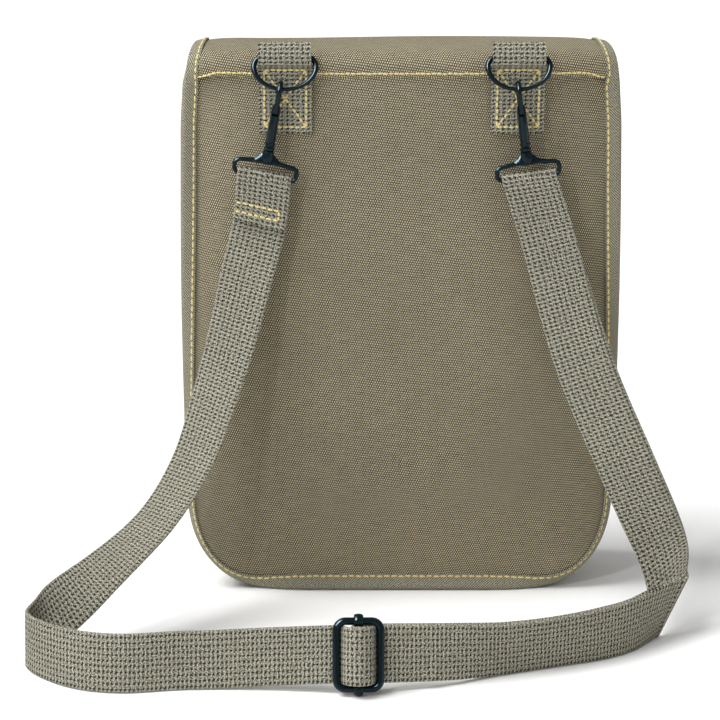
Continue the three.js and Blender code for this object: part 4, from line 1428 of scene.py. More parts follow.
@dataclass
class StrapTab:
    """A webbing tab, folded over a D-ring's bar and box stitched to the back, with its D-ring.

    A loop row is a place on the slack loop round the bar, as shares of the wrap's radius.
    """

    width: float = 26.0
    thickness: float = 1.6
    foot: float = 241.0
    join: float = 267.0
    row: float = 10.0
    lift: Pair = (256.0, 265.0)
    straight: Pair = (265.0, 275.0)
    columns: int = 11
    steps: int = 9
    loop_rows: Profile = (
        (0.72, -2.3), (-0.3, -1.6), (-1.2, -1.1), (-1.62, 0.2), (-1.05, 1.95), (-0.1, 2.65), (0.72, 1.8),
        (1.04, 0.0), (1.37, -2.04),
    )
    box_in: float = 2.7
    box: Pair = (244.2, 272.4)
    box_places: int = 25

    def rest(self, x: Array, z: Array, flap: Flap) -> Array:
        """Distance of the cloth under the tab, first panel and then flap, from the middle plane."""
        panel = FORM.panel(FORM.swell_back, x, np.minimum(z, FORM.top))
        return lerp(panel, flap.back_depth(x / flap.half), smoothstep(z, *self.lift)) + CANVAS_THICKNESS / 2

    def sheet(self, centre: float, flap: Flap) -> tuple[Cloth, Array]:
        """The tab's cloth.

        Args:
            centre: The middle of the tab, across.
            flap: The flap.
        Returns:
            Its middle sheet and its rows of points.
        """
        wrap = RING.wire + GAP + self.thickness / 2
        layer = self.thickness + GAP
        rungs = np.array([self.foot, self.foot + self.row, self.foot + 2 * self.row, self.join])
        rest = -self.rest(np.full(4, centre), rungs, flap) - GAP - self.thickness / 2
        front = np.stack([rest - layer, rungs], 1)
        loop = np.array(self.loop_rows) * wrap + vec(RING.y, RING.z)
        back = np.stack([rest, rungs], 1)[::-1]
        line = np.vstack([front, loop, back])
        curve = smooth_line(line, np.linspace(0, len(line) - 1, (len(line) - 1) * self.steps + 1))
        x = centre + np.linspace(-0.5, 0.5, self.columns) * self.width
        level = self.rest(vec(centre), vec(self.foot), flap)
        follow = 1 - smoothstep(curve[:, 1], *self.straight)[:, None]
        y = curve[:, :1] + follow * (level - self.rest(x, np.full_like(x, self.foot), flap))[None, :]
        points = np.stack([np.tile(x, (len(curve), 1)), y, np.tile(curve[:, 1:], (1, self.columns))], -1)
        run = run_lengths(curve)[:, None]
        flat = np.stack([np.tile(x - centre, (len(curve), 1)), np.tile(run, (1, self.columns))], -1)
        return Cloth.grid(points, flat), points

    def face(self, points: Array, x: Array, z: Array) -> Array:
        """Places on the tab's outer face.

        Args:
            points: The tab's rows of points.
            x: Places across.
            z: Heights.
        Returns:
            Points on the face.
        """
        front = points[: 4 * self.steps]
        middle = front[:, self.columns // 2]
        depth = np.interp(z, middle[:, 2], middle[:, 1])
        bow = np.interp(x, front[0, :, 0], front[0, :, 1] - front[0, self.columns // 2, 1])
        follow = 1 - smoothstep(z, *self.straight)
        return np.stack([x, depth + bow * follow - self.thickness / 2, z], 1)

    def sewing(self, points: Array, centre: float) -> Runs:
        """The box of stitches with its two diagonals.

        Args:
            points: The tab's rows of points.
            centre: The middle of the tab, across.
        Returns:
            Lines of places and normals.
        """
        half = self.width / 2 - self.box_in
        low, high = self.box
        corners = [(-half, low), (half, low), (half, high), (-half, high)]
        sides = [(corners[k], corners[(k + 1) % 4]) for k in range(4)]
        share = np.linspace(0, 1, self.box_places)
        normals = np.tile(vec(0, -1, 0), (self.box_places, 1))
        rows = []
        for start, end in [*sides, (corners[0], corners[2]), (corners[1], corners[3])]:
            x = centre + lerp(start[0], end[0], share)
            line = self.face(points, x, lerp(start[1], end[1], share))
            rows.append((line, normals))
        return rows

    def ring(self, finishes: Finishes) -> Piece:
        """Bends one D-ring: a straight bar, two tight corners and a round bow."""
        wire = WireBender("d_ring")
        half = RING.width / 2
        wire.start(RING.wire, vec(0, 0, 0), 180)
        wire.straight(half - RING.corner)
        wire.turn(RING.corner, 90, RING.corner_steps)
        wire.turn(half, 180, RING.bow_steps)
        wire.turn(RING.corner, 90, RING.corner_steps)
        wire.straight(half - RING.corner)
        wire.select(lambda place: place.z < -RING.corner)
        drop = (RING.height - RING.corner) / half
        wire.stretch((1, 1, drop), (0, 0, -RING.corner))
        return wire.piece(finishes.paint)

    def build(self, finishes: Finishes, stitcher: Stitcher, flap: Flap) -> None:
        """Makes both tabs, their stitches and their D-rings.

        Args:
            finishes: The case's materials.
            stitcher: The sewing.
            flap: The flap.
        """
        ring = self.ring(finishes)
        turn = Matrix.Rotation(-math.radians(RING.tilt), 3, "X")
        for side in Side:
            centre = side.value * RING.x
            sheet, points = self.sheet(centre, flap)
            tab = settle(
                sheet.shell(self.thickness).piece(f"{side.word}_tab_webbing", finishes.webbing),
                [f"{side.word}_tab"],
            )
            stitches = stitcher.box(f"{side.word}_tab_stitches", self.sewing(points, centre))
            place = place_matrix((centre, RING.y, RING.z), turn)
            settle(placed(ring, f"{side.word}_d_ring_wire", place), [f"{side.word}_d_ring"])
        bpy.data.objects.remove(ring)


@dataclass(frozen=True)
class HookPlace:
    """Where a snap hook hangs: its swivel collar's place and its lean."""

    side: Side
    x: float
    y: float
    z: float
    lean: float

    def matrix(self) -> Matrix:
        """The hook's place, in metres."""
        return place_matrix((self.x, self.y, self.z), Matrix.Rotation(math.radians(self.lean), 3, "Y"))

    def at(self, place: Array) -> Array:
        """A place of the hook's frame, in the part's frame."""
        turn = np.array(Matrix.Rotation(math.radians(self.lean), 3, "Y"))
        return turn @ place + vec(self.x, self.y, self.z)


LEFT_HOOK = HookPlace(Side.LEFT, -65.4, -48.4, 234.4, 10.5)
RIGHT_HOOK = HookPlace(Side.RIGHT, 61.2, -48.4, 234.1, -7.5)


@dataclass
class SnapHook:
    """A swivel snap hook: its body with the bent nose, its spring gate, and the swivel eye for the strap.

    A row is a radius and a height on a turned piece.
    """

    wire: float = 1.3
    wire_sides: int = 16
    bend: float = 3.8
    bend_steps: int = 20
    bend_height: float = 29.0
    spine_foot: float = 15.0
    flatten: float = 1.75
    body_rows: Profile = (
        (2.2, -0.8), (2.75, -0.5), (2.8, 0.6), (2.3, 1.1), (2.25, 1.7), (2.65, 2.1), (2.65, 3.0), (2.35, 3.4),
        (2.5, 4.2), (2.35, 15.5), (2.2, 19.5), (1.95, 21.2), (1.3, 22.0),
    )
    body_sides: int = 28
    head_rows: Profile = ((1.3, -8.1), (1.7, -7.8), (1.7, -7.5), (1.45, -7.3), (1.45, 1.0))
    head_sides: int = 20
    gate_width: float = 2.4
    gate_thickness: float = 1.5
    gate_bevel: float = 0.4
    gate_nose: float = 0.6
    gate_narrow: Triple = (0.8, 0.7, 1.0)
    pivot: Pair = (-2.3, 18.2)
    tip: Pair = (-3.7, 28.5)
    pin: float = 0.55
    pin_half: float = 2.15
    pin_chamfer: Pair = (0.6, 0.2)
    pin_sides: int = 12
    slot_size: Triple = (8.5, 3.0, 6.9)
    slot_centre: Triple = (-3.75, 0.0, 20.05)
    slot_bevel: float = 0.3
    eye_width: float = 31.0
    eye_height: float = 8.2
    eye_top: float = -6.0
    eye_wire: float = 1.15
    eye_corner: float = 2.6
    eye_steps: int = 8
    eye_slope: float = 7.0
    boss_rows: Profile = (
        (2.2, -7.4), (2.9, -6.6), (3.1, -5.0), (2.95, -3.4), (2.8, -2.0), (2.7, -1.3), (2.2, -1.0),
    )
    boss_sides: int = 24
    flare_rows: Profile = (
        (8.2, -7.75), (8.7, -7.3), (8.2, -6.5), (6.2, -5.3), (4.4, -4.2), (3.4, -2.8),
    )
    flare_sides: int = 32
    flare_flatten: float = 0.2

    def hook(self, finishes: Finishes) -> Piece:
        """Models the hook with its gate's side along -X, then turns it to face -Y."""
        cutter = Bench("slot_cutter")
        cutter.block(self.slot_size, self.slot_centre, self.slot_bevel)
        slot = cutter.piece(finishes.paint)
        slot.data.transform(Matrix.Scale(1 / METRES, 4))
        work = WireBender("hook")
        work.turned(self.body_rows, self.body_sides, vec(0, 0, 1), vec(0, 0, 0))
        work.flatten_all((self.flatten, 1, 1))
        work.cut(slot)
        work.start(self.wire, vec(self.bend, 0, self.spine_foot), 90, self.wire_sides, True)
        work.straight(self.bend_height - self.spine_foot)
        work.turn(self.bend, 180, self.bend_steps)
        work.turned(self.head_rows, self.head_sides, vec(0, 0, 1), vec(0, 0, 0))
        piece = work.piece(finishes.paint)
        piece.data.transform(Matrix.Rotation(math.radians(90), 4, "Z"))
        return piece

    def gate(self, finishes: Finishes) -> Piece:
        """Models the gate: a rounded lever that narrows to its tip, on a pin."""
        rise = self.tip[1] - self.pivot[1]
        run = self.tip[0] - self.pivot[0]
        length = math.hypot(run, rise)
        work = Bench("gate")
        half = self.gate_thickness / 2
        size = (self.gate_width, self.gate_thickness, length + half)
        work.block(size, (0, 0, (length - half) / 2), self.gate_bevel)
        work.select(lambda place: place.z > length - self.gate_nose)
        work.stretch(self.gate_narrow, (0, 0, length))
        share, chamfer = self.pin_chamfer
        end, straight = self.pin * share, self.pin_half - chamfer
        pin = ((end, -self.pin_half), (self.pin, -straight), (self.pin, straight), (end, self.pin_half))
        work.turned(pin, self.pin_sides, vec(1, 0, 0), vec(0, 0, 0))
        piece = work.piece(finishes.paint)
        lean = Matrix.Rotation(math.atan2(-run, rise), 3, "X")
        piece.data.transform(place_matrix((0, *self.pivot), lean))
        return piece

    def eye(self, finishes: Finishes) -> Piece:
        """Models the swivel eye: a flared boss on a wire loop whose shoulders slope down."""
        work = WireBender("eye")
        half, corner = self.eye_width / 2, self.eye_corner
        slope = math.radians(self.eye_slope)
        shoulder = half - corner * (1 - math.sin(slope))
        upright = self.eye_height - corner * (1 + math.cos(slope)) - shoulder * math.tan(slope)
        work.turned(self.flare_rows, self.flare_sides, vec(0, 0, 1), vec(0, 0, 0))
        work.flatten_all((1, self.flare_flatten, 1))
        work.turned(self.boss_rows, self.boss_sides, vec(0, 0, 1), vec(0, 0, 0))
        work.start(self.eye_wire, vec(0, 0, self.eye_top - self.eye_height), 0)
        runs = (half - corner, upright, shoulder / math.cos(slope))
        turns = (90, 90 - self.eye_slope)
        for length, degrees in zip(runs, turns):
            work.straight(length)
            work.turn(corner, degrees, self.eye_steps)
        work.straight(runs[-1])
        work.heading += 2 * slope
        work.straight(runs[-1])
        for length, degrees in zip(runs[1::-1], turns[::-1]):
            work.turn(corner, degrees, self.eye_steps)
            work.straight(length)
        return work.piece(finishes.paint)

    def build(self, finishes: Finishes) -> None:
        """Makes both hooks, gates and eyes."""
        hook, gate, eye = self.hook(finishes), self.gate(finishes), self.eye(finishes)
        for place in (LEFT_HOOK, RIGHT_HOOK):
            word = place.side.word
            for model, node, body in (
                (hook, f"{word}_hook", f"{word}_hook_body"), (gate, f"{word}_gate", f"{word}_gate_body"),
                (eye, f"{word}_eye", CASE),
            ):
                settle(placed(model, f"{node}_steel", place.matrix()), [node], body)
        for piece in (hook, gate, eye):
            bpy.data.objects.remove(piece)


@dataclass
class Ribbon:
    """Places along a strap's middle line, and the direction and the share of its width at each."""

    p: Array
    w: Array
    h: Array

    @classmethod
    def chain(cls, parts: Sequence["Ribbon"]) -> "Ribbon":
        """One ribbon from several in order, without the places that repeat."""
        p, w, h = (np.concatenate([getattr(part, name) for part in parts]) for name in ("p", "w", "h"))
        keep = np.concatenate([[True], np.linalg.norm(np.diff(p, axis=0), axis=1) > REPEATED])
        return cls(p[keep], w[keep], h[keep])

    @classmethod
    def even(cls, p: Array, w: Array, h: float = 1.0) -> "Ribbon":
        """A ribbon with one width, and one direction of it where w is a single direction."""
        return cls(p, np.broadcast_to(w, p.shape).copy(), np.full(len(p), h))

    def part(self, key: Any) -> "Ribbon":
        """The places that a slice or mask picks."""
        return Ribbon(self.p[key], self.w[key], self.h[key])

    def smooth(self, step: float) -> "Ribbon":
        """The ribbon on a smooth line through its places, with even steps between them."""
        spans = np.linalg.norm(np.diff(self.p, axis=0), axis=1)
        places = [np.array([0.0])]
        for k, span in enumerate(spans):
            count = max(1, round(span / step))
            places.append(k + np.arange(1, count + 1) / count)
        at = np.minimum(np.concatenate(places), len(self.p) - 1)
        h = smooth_line(self.p, at, self.h[:, None])[:, 0]
        return Ribbon(smooth_line(self.p, at), unit(smooth_line(self.p, at, self.w)), h)

    def along(self) -> Array:
        """The way that the strap runs at each place."""
        ahead = np.vstack([self.p[1:], self.p[-1:]])
        behind = np.vstack([self.p[:1], self.p[:-1]])
        return unit(ahead - behind)


def width_way(roll: float, lean: float) -> Array:
    """The direction of a strap's width: upright at a roll of 0 degrees, leaning towards the case."""
    across, tip = math.radians(roll), math.radians(lean)
    return vec(math.sin(across) * math.cos(tip), math.sin(tip), math.cos(across) * math.cos(tip))


@dataclass(frozen=True)
class WebbingSize:
    """The strap webbing's sizes."""

    width: float = 27.0
    thickness: float = 1.8


WEB = WebbingSize()


def wrap_radius(wire: float, layers: int) -> float:
    """Distance of a strap layer's middle from the wire that it goes round."""
    return wire + GAP + WEB.thickness / 2 + layers * (WEB.thickness + GAP)


def standing_height(w: Array) -> float:
    """Height of the strap's middle where its edge is on the floor, from the direction of its width."""
    return (w[2] * WEB.width + math.hypot(w[0], w[1]) * WEB.thickness) / 2


def arc(along: float, radius: float, start: float, end: float, count: int) -> Array:
    """Places from angle to angle round a wire, as distances along the strap and out."""
    angle = np.linspace(start, end, count)
    return np.stack([along + radius * np.cos(angle), radius * np.sin(angle)], 1)


@dataclass
class StrapSlider:
    """The wire slider that stands on its edge in the strap's front stretch: a frame and a centre bar."""

    x: float = -21.3
    y: float = -178.5
    lift: float = 5.3
    turn: float = 3.0
    lean: float = 12.0
    width: float = 20.4
    height: float = 31.0
    corner: float = 4.2
    corner_steps: int = 10
    wire: float = 1.8
    wire_sides: int = 20
    bar: float = 1.4
    sleeve: float = 2.75
    sleeve_wall: float = 0.75
    sleeve_half: float = 2.1
    sleeve_places: int = 15
    sleeve_sides: int = 24
    bulge: float = 1.6
    steepest: float = 0.98
    arc_places: int = 9
    tail: float = 26.0
    tail_places: tuple[int, int] = (16, 6)

    def axes(self) -> tuple[Array, Array, Array, Array]:
        """The slider's origin, the strap's way through it, the way out and the width's way."""
        w = width_way(0, self.lean)
        ahead = vec(math.cos(math.radians(self.turn)), math.sin(math.radians(self.turn)), 0)
        along = unit(ahead - w * (ahead @ w))
        out = unit(np.cross(along, w))
        return vec(self.x, self.y, standing_height(w) + self.lift), along, out, w

    def ribbon(self, places: Array, mirror: int = 1) -> Ribbon:
        """Places in the slider's own frame, as a ribbon.

        Args:
            places: Distances along the strap and out.
            mirror: -1 for the other side of the bar.
        Returns:
            The ribbon.
        """
        origin, along, out, w = self.axes()
        p = origin + np.outer(mirror * places[:, 0], along) + np.outer(places[:, 1], out)
        return Ribbon.even(p, w)

    def over_bar(self, layer: int) -> Array:
        """A layer's way from the bar's crest to behind the frame's side."""
        bar = wrap_radius(self.bar, 1 - layer) + self.bulge
        side, far = wrap_radius(self.wire, layer), self.width / 2
        slope = math.asin(min((bar + side) / far, self.steepest))
        return np.vstack([
            arc(0, bar, math.pi / 2, math.pi / 2 - slope, self.arc_places),
            arc(far, side, 1.5 * math.pi - slope, 1.5 * math.pi, self.arc_places),
        ])

    def tail_end(self) -> Array:
        """The sewn end's way round the bar and along behind the strap."""
        bar, side, far = wrap_radius(self.bar, 0), wrap_radius(self.wire, 2), self.width / 2
        slope = math.asin((side - bar) / far)
        turned = 1.5 * math.pi - slope
        return np.vstack([
            arc(0, bar, math.pi / 2, turned, self.tail_places[0]),
            arc(far, side, turned, 1.5 * math.pi, self.tail_places[1]),
            vec(far + self.tail / 2, -side)[None],
            vec(far + self.tail, -side)[None],
        ])

    def frame_piece(self, finishes: Finishes) -> Piece:
        """Bends the frame: a wire rectangle with round corners."""
        wire = WireBender("slider_frame_wire")
        across, up = self.width - 2 * self.corner, self.height - 2 * self.corner
        wire.start(self.wire, vec(0, 0, -self.height / 2), 0, self.wire_sides)
        for length in (across / 2, up, across, up):
            wire.straight(length)
            wire.turn(self.corner, 90, self.corner_steps)
        wire.straight(across / 2)
        return wire.piece(finishes.paint)

    def bar_piece(self, finishes: Finishes) -> Piece:
        """Models the bar: a round rod with a rolled sleeve at each end."""
        work = Bench("slider_bar_steel")
        rise = self.height / 2
        reach = rise - self.sleeve
        work.turned(((self.bar, -reach), (self.bar, reach)), self.wire_sides, vec(0, 0, 1), vec(0, 0, 0))
        turn = np.linspace(0, 2 * math.pi, self.sleeve_places)
        radius = self.sleeve + self.sleeve_wall * np.sin(turn)
        along = self.sleeve_half * np.cos(turn)
        for end in (-1, 1):
            work.disc(radius[0], self.sleeve_sides, vec(along[0], 0, end * rise), vec(1, 0, 0), False)
            for k in range(1, len(turn)):
                work.push_to(vec(along[k], 0, end * rise), radius[k])
        return work.piece(finishes.paint)

    def build(self, finishes: Finishes) -> None:
        """Makes the frame and the bar in their place on the strap."""
        origin, along, out, w = self.axes()
        turn = Matrix(np.stack([along, -out, w], 1).tolist())
        place = place_matrix(origin, turn)
        for piece, node in (
            (self.frame_piece(finishes), "slider_frame"), (self.bar_piece(finishes), "slider_bar"),
        ):
            piece.data.transform(place)
            settle(piece, [node])


@dataclass
class ShoulderStrap:
    """The webbing strap, from the left eye round to the right eye, and doubled from there back to the slider.

    A row is a place on its middle line: x, y, z or None where its lower edge stands on the floor, roll, lean,
    and how far such an edge is raised.
    """

    left_rows: tuple[StrapRow, ...] = (
        (-70.2, -47.6, 199.0, -77.0, 6.0, 0.0),
        (-77.4, -50.5, 170.0, -76.0, 15.0, 0.0),
        (-84.0, -55.0, 142.5, -75.0, 25.0, 0.0),
        (-94.4, -63.0, 108.0, -76.0, 35.0, 0.0),
        (-104.5, -74.0, 80.5, -84.0, 42.0, 0.0),
        (-120.5, -91.0, 57.0, -86.0, 44.0, 0.0),
        (-147.0, -118.0, 36.5, -60.0, 42.0, 0.0),
        (-163.5, -130.0, 24.5, -31.0, 24.0, 0.0),
        (-174.0, -134.5, None, -7.0, 8.0, 3.0),
        (-178.6, -141.5, None, 0.0, 6.0, 0.3),
        (-175.5, -150.0, None, 0.0, 8.0, 0.0),
        (-165.0, -161.3, None, 0.0, 12.0, 0.0),
        (-150.0, -171.0, None, 0.0, 15.0, 0.0),
        (-131.0, -175.2, None, 0.0, 15.0, 0.0),
        (-100.0, -171.2, None, 0.0, 14.0, 0.0),
        (-64.0, -171.8, None, 0.0, 14.0, 2.0),
    )
    right_rows: tuple[StrapRow, ...] = (
        (22.0, -167.5, None, 0.0, 3.0, 2.4),
        (46.0, -158.2, None, 0.0, -10.0, 0.3),
        (72.0, -148.2, None, 0.0, -13.0, 0.0),
        (96.0, -136.5, None, 0.0, -7.0, 0.0),
        (111.0, -125.0, None, 3.0, -2.0, 0.0),
    )
    up_rows: tuple[StrapRow, ...] = (
        (129.8, -91.0, 39.0, 55.0, 4.0, 0.0),
        (122.5, -88.0, 58.0, 68.0, 3.0, 0.0),
        (112.0, -83.0, 82.0, 70.0, 2.0, 0.0),
        (94.5, -69.5, 122.0, 71.0, 2.0, 0.0),
        (82.8, -59.0, 157.0, 73.0, 2.0, 0.0),
        (73.4, -50.5, 188.0, 76.0, 1.0, 0.0),
    )
    crease: Triple = (133.6, -100.8, 16.0)
    crease_along: Triple = (0.35, 0.18, 0.9)
    crease_out: Triple = (0.88, -0.2, -0.43)
    crease_radius: float = 3.4
    crease_turn: Pair = (-70.0, 30.0)
    crease_slide: float = 0.9
    crease_cone: float = 0.1
    crease_width: float = 1.18
    crease_places: int = 17
    eye_places: int = 13
    step: float = 3.0
    sewn_end: float = 27.0
    sewn_box: Pair = (4.4, 9.2)
    sewn_across: Pair = (12.9, -9.3)
    sewn_places: int = 15
    free_end: float = 0.9
    free_reach: float = 7.0
    drift: float = 1.8
    drift_from_eye: Pair = (20.0, 90.0)
    drift_from_floor: Pair = (30.0, 70.0)
    closing: Pair = (3.0, 26.0)
    clearance: float = 0.25
    columns: int = 9
    rim: int = 5

    def rows(self, table: Sequence[StrapRow]) -> Ribbon:
        """A table of rows as a ribbon."""
        ways = [width_way(roll, lean) for _, _, _, roll, lean, _ in table]
        places = []
        for (x, y, z, _, _, lift), w in zip(table, ways):
            places.append(vec(x, y, standing_height(w) + lift if z is None else z))
        return Ribbon.even(np.array(places), np.array(ways))

    def fold(self) -> Ribbon:
        """The slanted fold at the strap's right turn."""
        along = unit(vec(*self.crease_along))
        out = vec(*self.crease_out)
        out = unit(out - along * (out @ along))
        inwards = np.cross(along, out)
        radius = self.crease_radius
        axis = vec(*self.crease) - out * radius
        angle = np.radians(np.linspace(*self.crease_turn, self.crease_places))[:, None]
        p = axis + out * radius * np.cos(angle) + inwards * radius * np.sin(angle)
        w = unit(along + self.crease_cone * (out * np.cos(angle) + inwards * np.sin(angle)))
        return Ribbon.even(p + along * self.crease_slide * radius * angle, w, self.crease_width)

    def inside_layer(self, ribbon: Ribbon, eye: Array, drift: float, wire: float) -> Ribbon:
        """A second layer on the inside of the strap, which stands off near an eye by the eye's wire.

        Args:
            ribbon: The outer layer.
            eye: The middle of the eye's bar.
            drift: The layer's sideways shift.
            wire: The eye's wire.
        Returns:
            The inner layer.
        """
        normal = unit(np.cross(ribbon.w, ribbon.along()))
        distance = np.linalg.norm(ribbon.p - eye, axis=1)
        away = smoothstep(distance, *self.closing)
        offset = lerp(2 * wrap_radius(wire, 0), WEB.thickness + GAP, away)[:, None]
        high = smoothstep(ribbon.p[:, 2], *self.drift_from_floor)
        shift = (smoothstep(distance, *self.drift_from_eye) * high)[:, None]
        return Ribbon(ribbon.p + normal * offset - ribbon.w * drift * shift, ribbon.w, ribbon.h)

    def round_eye(self, place: HookPlace, bar: Array, w: Array, wire: float) -> Ribbon:
        """The turn round an eye's bar, from the back over to the front."""
        angle = np.linspace(0, math.pi, self.eye_places)[1:-1, None]
        up = place.at(vec(0, 0, 1)) - place.at(vec(0, 0, 0))
        reach = wrap_radius(wire, 0)
        p = bar + vec(0, reach, 0) * np.cos(angle) + up * reach * np.sin(angle)
        return Ribbon.even(p, w)

    def ribbon(self, hook: SnapHook, slider: StrapSlider) -> tuple[Ribbon, Ribbon]:
        """The strap's whole middle line.

        Args:
            hook: The snap hooks, whose eyes hold the strap.
            slider: The slider.
        Returns:
            The strap from its sewn end at the left eye to its sewn end at the slider, and the first of these
            ends.
        """
        bars = [place.at(vec(0, 0, hook.eye_top - hook.eye_height)) for place in (LEFT_HOOK, RIGHT_HOOK)]
        across = [place.at(vec(1, 0, 0)) - place.at(vec(0, 0, 0)) for place in (LEFT_HOOK, RIGHT_HOOK)]
        behind = vec(0, wrap_radius(hook.eye_wire, 0), 0)
        left_top = Ribbon.even((bars[0] + behind)[None], -across[0])
        right_top = Ribbon.even((bars[1] + behind)[None], across[1])
        over = slider.ribbon(slider.over_bar(0))
        into = slider.ribbon(slider.over_bar(0)[::-1], -1)
        left = Ribbon.chain([left_top, self.rows(self.left_rows), into.part(slice(0, 1))]).smooth(self.step)
        fold = self.fold()
        first, last = slice(0, 1), slice(-1, None)
        front = Ribbon.chain([over.part(last), self.rows(self.right_rows), fold.part(first)])
        rise = Ribbon.chain([fold.part(last), self.rows(self.up_rows), right_top]).smooth(self.step)
        right = Ribbon.chain([front.smooth(self.step), fold, rise])
        main = Ribbon.chain([left, into, over, right])
        near = np.linalg.norm(left.p - bars[0], axis=1) < self.sewn_end
        sewn = self.inside_layer(left, bars[0], 0.0, hook.eye_wire).part(near).part(slice(None, None, -1))
        loose = 1 - smoothstep(run_lengths(sewn.p), 0, self.free_reach)
        sewn.p = sewn.p - np.outer(loose, vec(0, self.free_end, 0))
        doubled = self.inside_layer(right, bars[1], self.drift, hook.eye_wire).part(slice(-1, 0, -1))
        return Ribbon.chain([
            sewn,
            self.round_eye(LEFT_HOOK, bars[0], left_top.w[0], hook.eye_wire).part(slice(None, None, -1)),
            main,
            self.round_eye(RIGHT_HOOK, bars[1], right_top.w[0], hook.eye_wire),
            doubled,
            slider.ribbon(slider.over_bar(1)[::-1]),
            slider.ribbon(slider.tail_end()[1:]),
        ]), sewn

    def skin(self, ribbon: Ribbon) -> Cloth:
        """The webbing's skin, with rounded edges.

        Args:
            ribbon: The strap's middle line.
        Returns:
            The skin.
        """
        normal = unit(np.cross(ribbon.along(), ribbon.w))
        half = ribbon.h * WEB.width / 2
        thick = WEB.thickness / 2
        low = ribbon.p[:, 2] - half * np.abs(ribbon.w[:, 2]) - np.abs(normal[:, 2]) * thick
        middle = ribbon.p + vec(0, 0, 1) * np.maximum(self.clearance - low, 0)[:, None]
        face, level, edge = np.linspace(-1, 1, self.columns), np.ones(self.columns), np.ones(self.rim)
        turn = np.linspace(math.pi / 2, -math.pi / 2, self.rim + 2)[1:-1]
        side = np.concatenate([face, edge, face[::-1], -edge])
        past = np.concatenate([0 * level, np.cos(turn), 0 * level, -np.cos(turn)])
        up = np.concatenate([level, np.sin(turn), -level, -np.sin(turn)])
        across = side[None, :] * (half - thick)[:, None] + past[None, :] * thick
        rings = (
            middle[:, None] + ribbon.w[:, None] * across[..., None]
            + normal[:, None] * (up * thick)[None, :, None]
        )
        run = np.tile(run_lengths(ribbon.p)[:, None], (1, len(side)))
        return Cloth.tube(rings, np.stack([across, run], -1), False)

    def sewing(self, sewn: Ribbon) -> Runs:
        """The box of stitches on the strap's folded left end.

        Args:
            sewn: The folded end, from its tip up to the eye.
        Returns:
            Lines of places and normals.
        """
        normal = unit(np.cross(sewn.w, sewn.along()))
        normal = normal * np.sign(-normal[:, 1:2])
        run = run_lengths(sewn.p)
        share = np.linspace(0, 1, self.sewn_places)
        (low, high), (far, near) = self.sewn_box, self.sewn_across
        corners = [(far, low), (near, low), (near, high), (far, high)]
        rows = []
        for start, end in zip(corners, corners[1:]):
            across, along = (lerp(start[k], end[k], share) for k in range(2))
            p, w, n = (read_along(run, values, along) for values in (sewn.p, sewn.w, normal))
            rows.append((p + w * across[:, None] + n * (WEB.thickness / 2), n))
        return rows

    def build(self, finishes: Finishes, stitcher: Stitcher, hook: SnapHook, slider: StrapSlider) -> None:
        """Makes the strap and the stitches of its left end.

        Args:
            finishes: The case's materials.
            stitcher: The sewing.
            hook: The snap hooks.
            slider: The slider.
        """
        ribbon, sewn = self.ribbon(hook, slider)
        strap = settle(self.skin(ribbon).piece("strap_webbing", finishes.webbing), ["strap"])
        stitches = stitcher.box("strap_stitches", self.sewing(sewn))
        log.info("strap length %.3f m", run_lengths(ribbon.p)[-1] * METRES)


@dataclass
class PressStud:
    """The flap's plain press stud: a domed cap outside, a post through the flap and a socket under it.

    A row is a radius and a depth from the socket's foot.
    """

    z: float = 74.0
    face: float = 36.55
    rows: Profile = (
        (5.0, 0.0), (5.5, 0.4), (5.5, 4.2), (5.1, 4.6), (2.0, 4.9), (2.0, 6.5), (6.6, 6.6), (7.0, 6.9),
        (7.0, 7.5), (6.5, 8.1), (5.2, 8.3), (4.9, 8.1), (4.6, 8.2), (3.0, 8.75), (1.0, 8.95),
    )
    sides: int = 40
    sharp: float = 30.0

    def build(self, finishes: Finishes) -> None:
        """Turns the stud in its place."""
        work = Bench("flap_stud_steel")
        work.turned(self.rows, self.sides, vec(0, 1, 0), vec(0, self.face, self.z))
        settle(work.piece(finishes.paint, self.sharp), ["flap_stud"])


@dataclass
class TopSeam:
    """The row of stitches across the back, along the flap's sewn edge, whose ends sag to the tape."""

    height: float = 270.4
    sag: float = 2.6
    sag_reach: float = 11.0
    reach: float = 101.5
    places: int = 121
    flap_rows: int = 12
    tab_half: float = 13.4
    stitch: Pair = (2.7, 1.05)
    fill: float = 0.98

    def build(self, stitcher: Stitcher, flap: Array) -> None:
        """Sews the row.

        Args:
            stitcher: The sewing.
            flap: The flap's rows of points.
        """
        x = np.linspace(-self.reach, self.reach, self.places)
        z = self.height - self.sag * smoothstep(np.abs(x), self.reach - self.sag_reach, self.reach)
        lines = np.stack([read_along(row[:, 0], row[:, 1:], x) for row in flap[:self.flap_rows]], 1)
        depth = np.array([np.interp(height, line[:, 1], line[:, 0]) for height, line in zip(z, lines)])
        free = np.abs(np.abs(x) - RING.x) > self.tab_half
        line = np.stack([x, depth - CANVAS_THICKNESS / 2, z], 1)
        runs = []
        for group in np.split(np.arange(len(x)), np.where(np.diff(free.astype(int)) != 0)[0] + 1):
            if free[group[0]] and len(group) > 1:
                runs.append((line[group], np.tile(vec(0, -1, 0), (len(group), 1))))
        stitcher.row("top_seam_stitches", runs, *self.stitch, fill=self.fill)


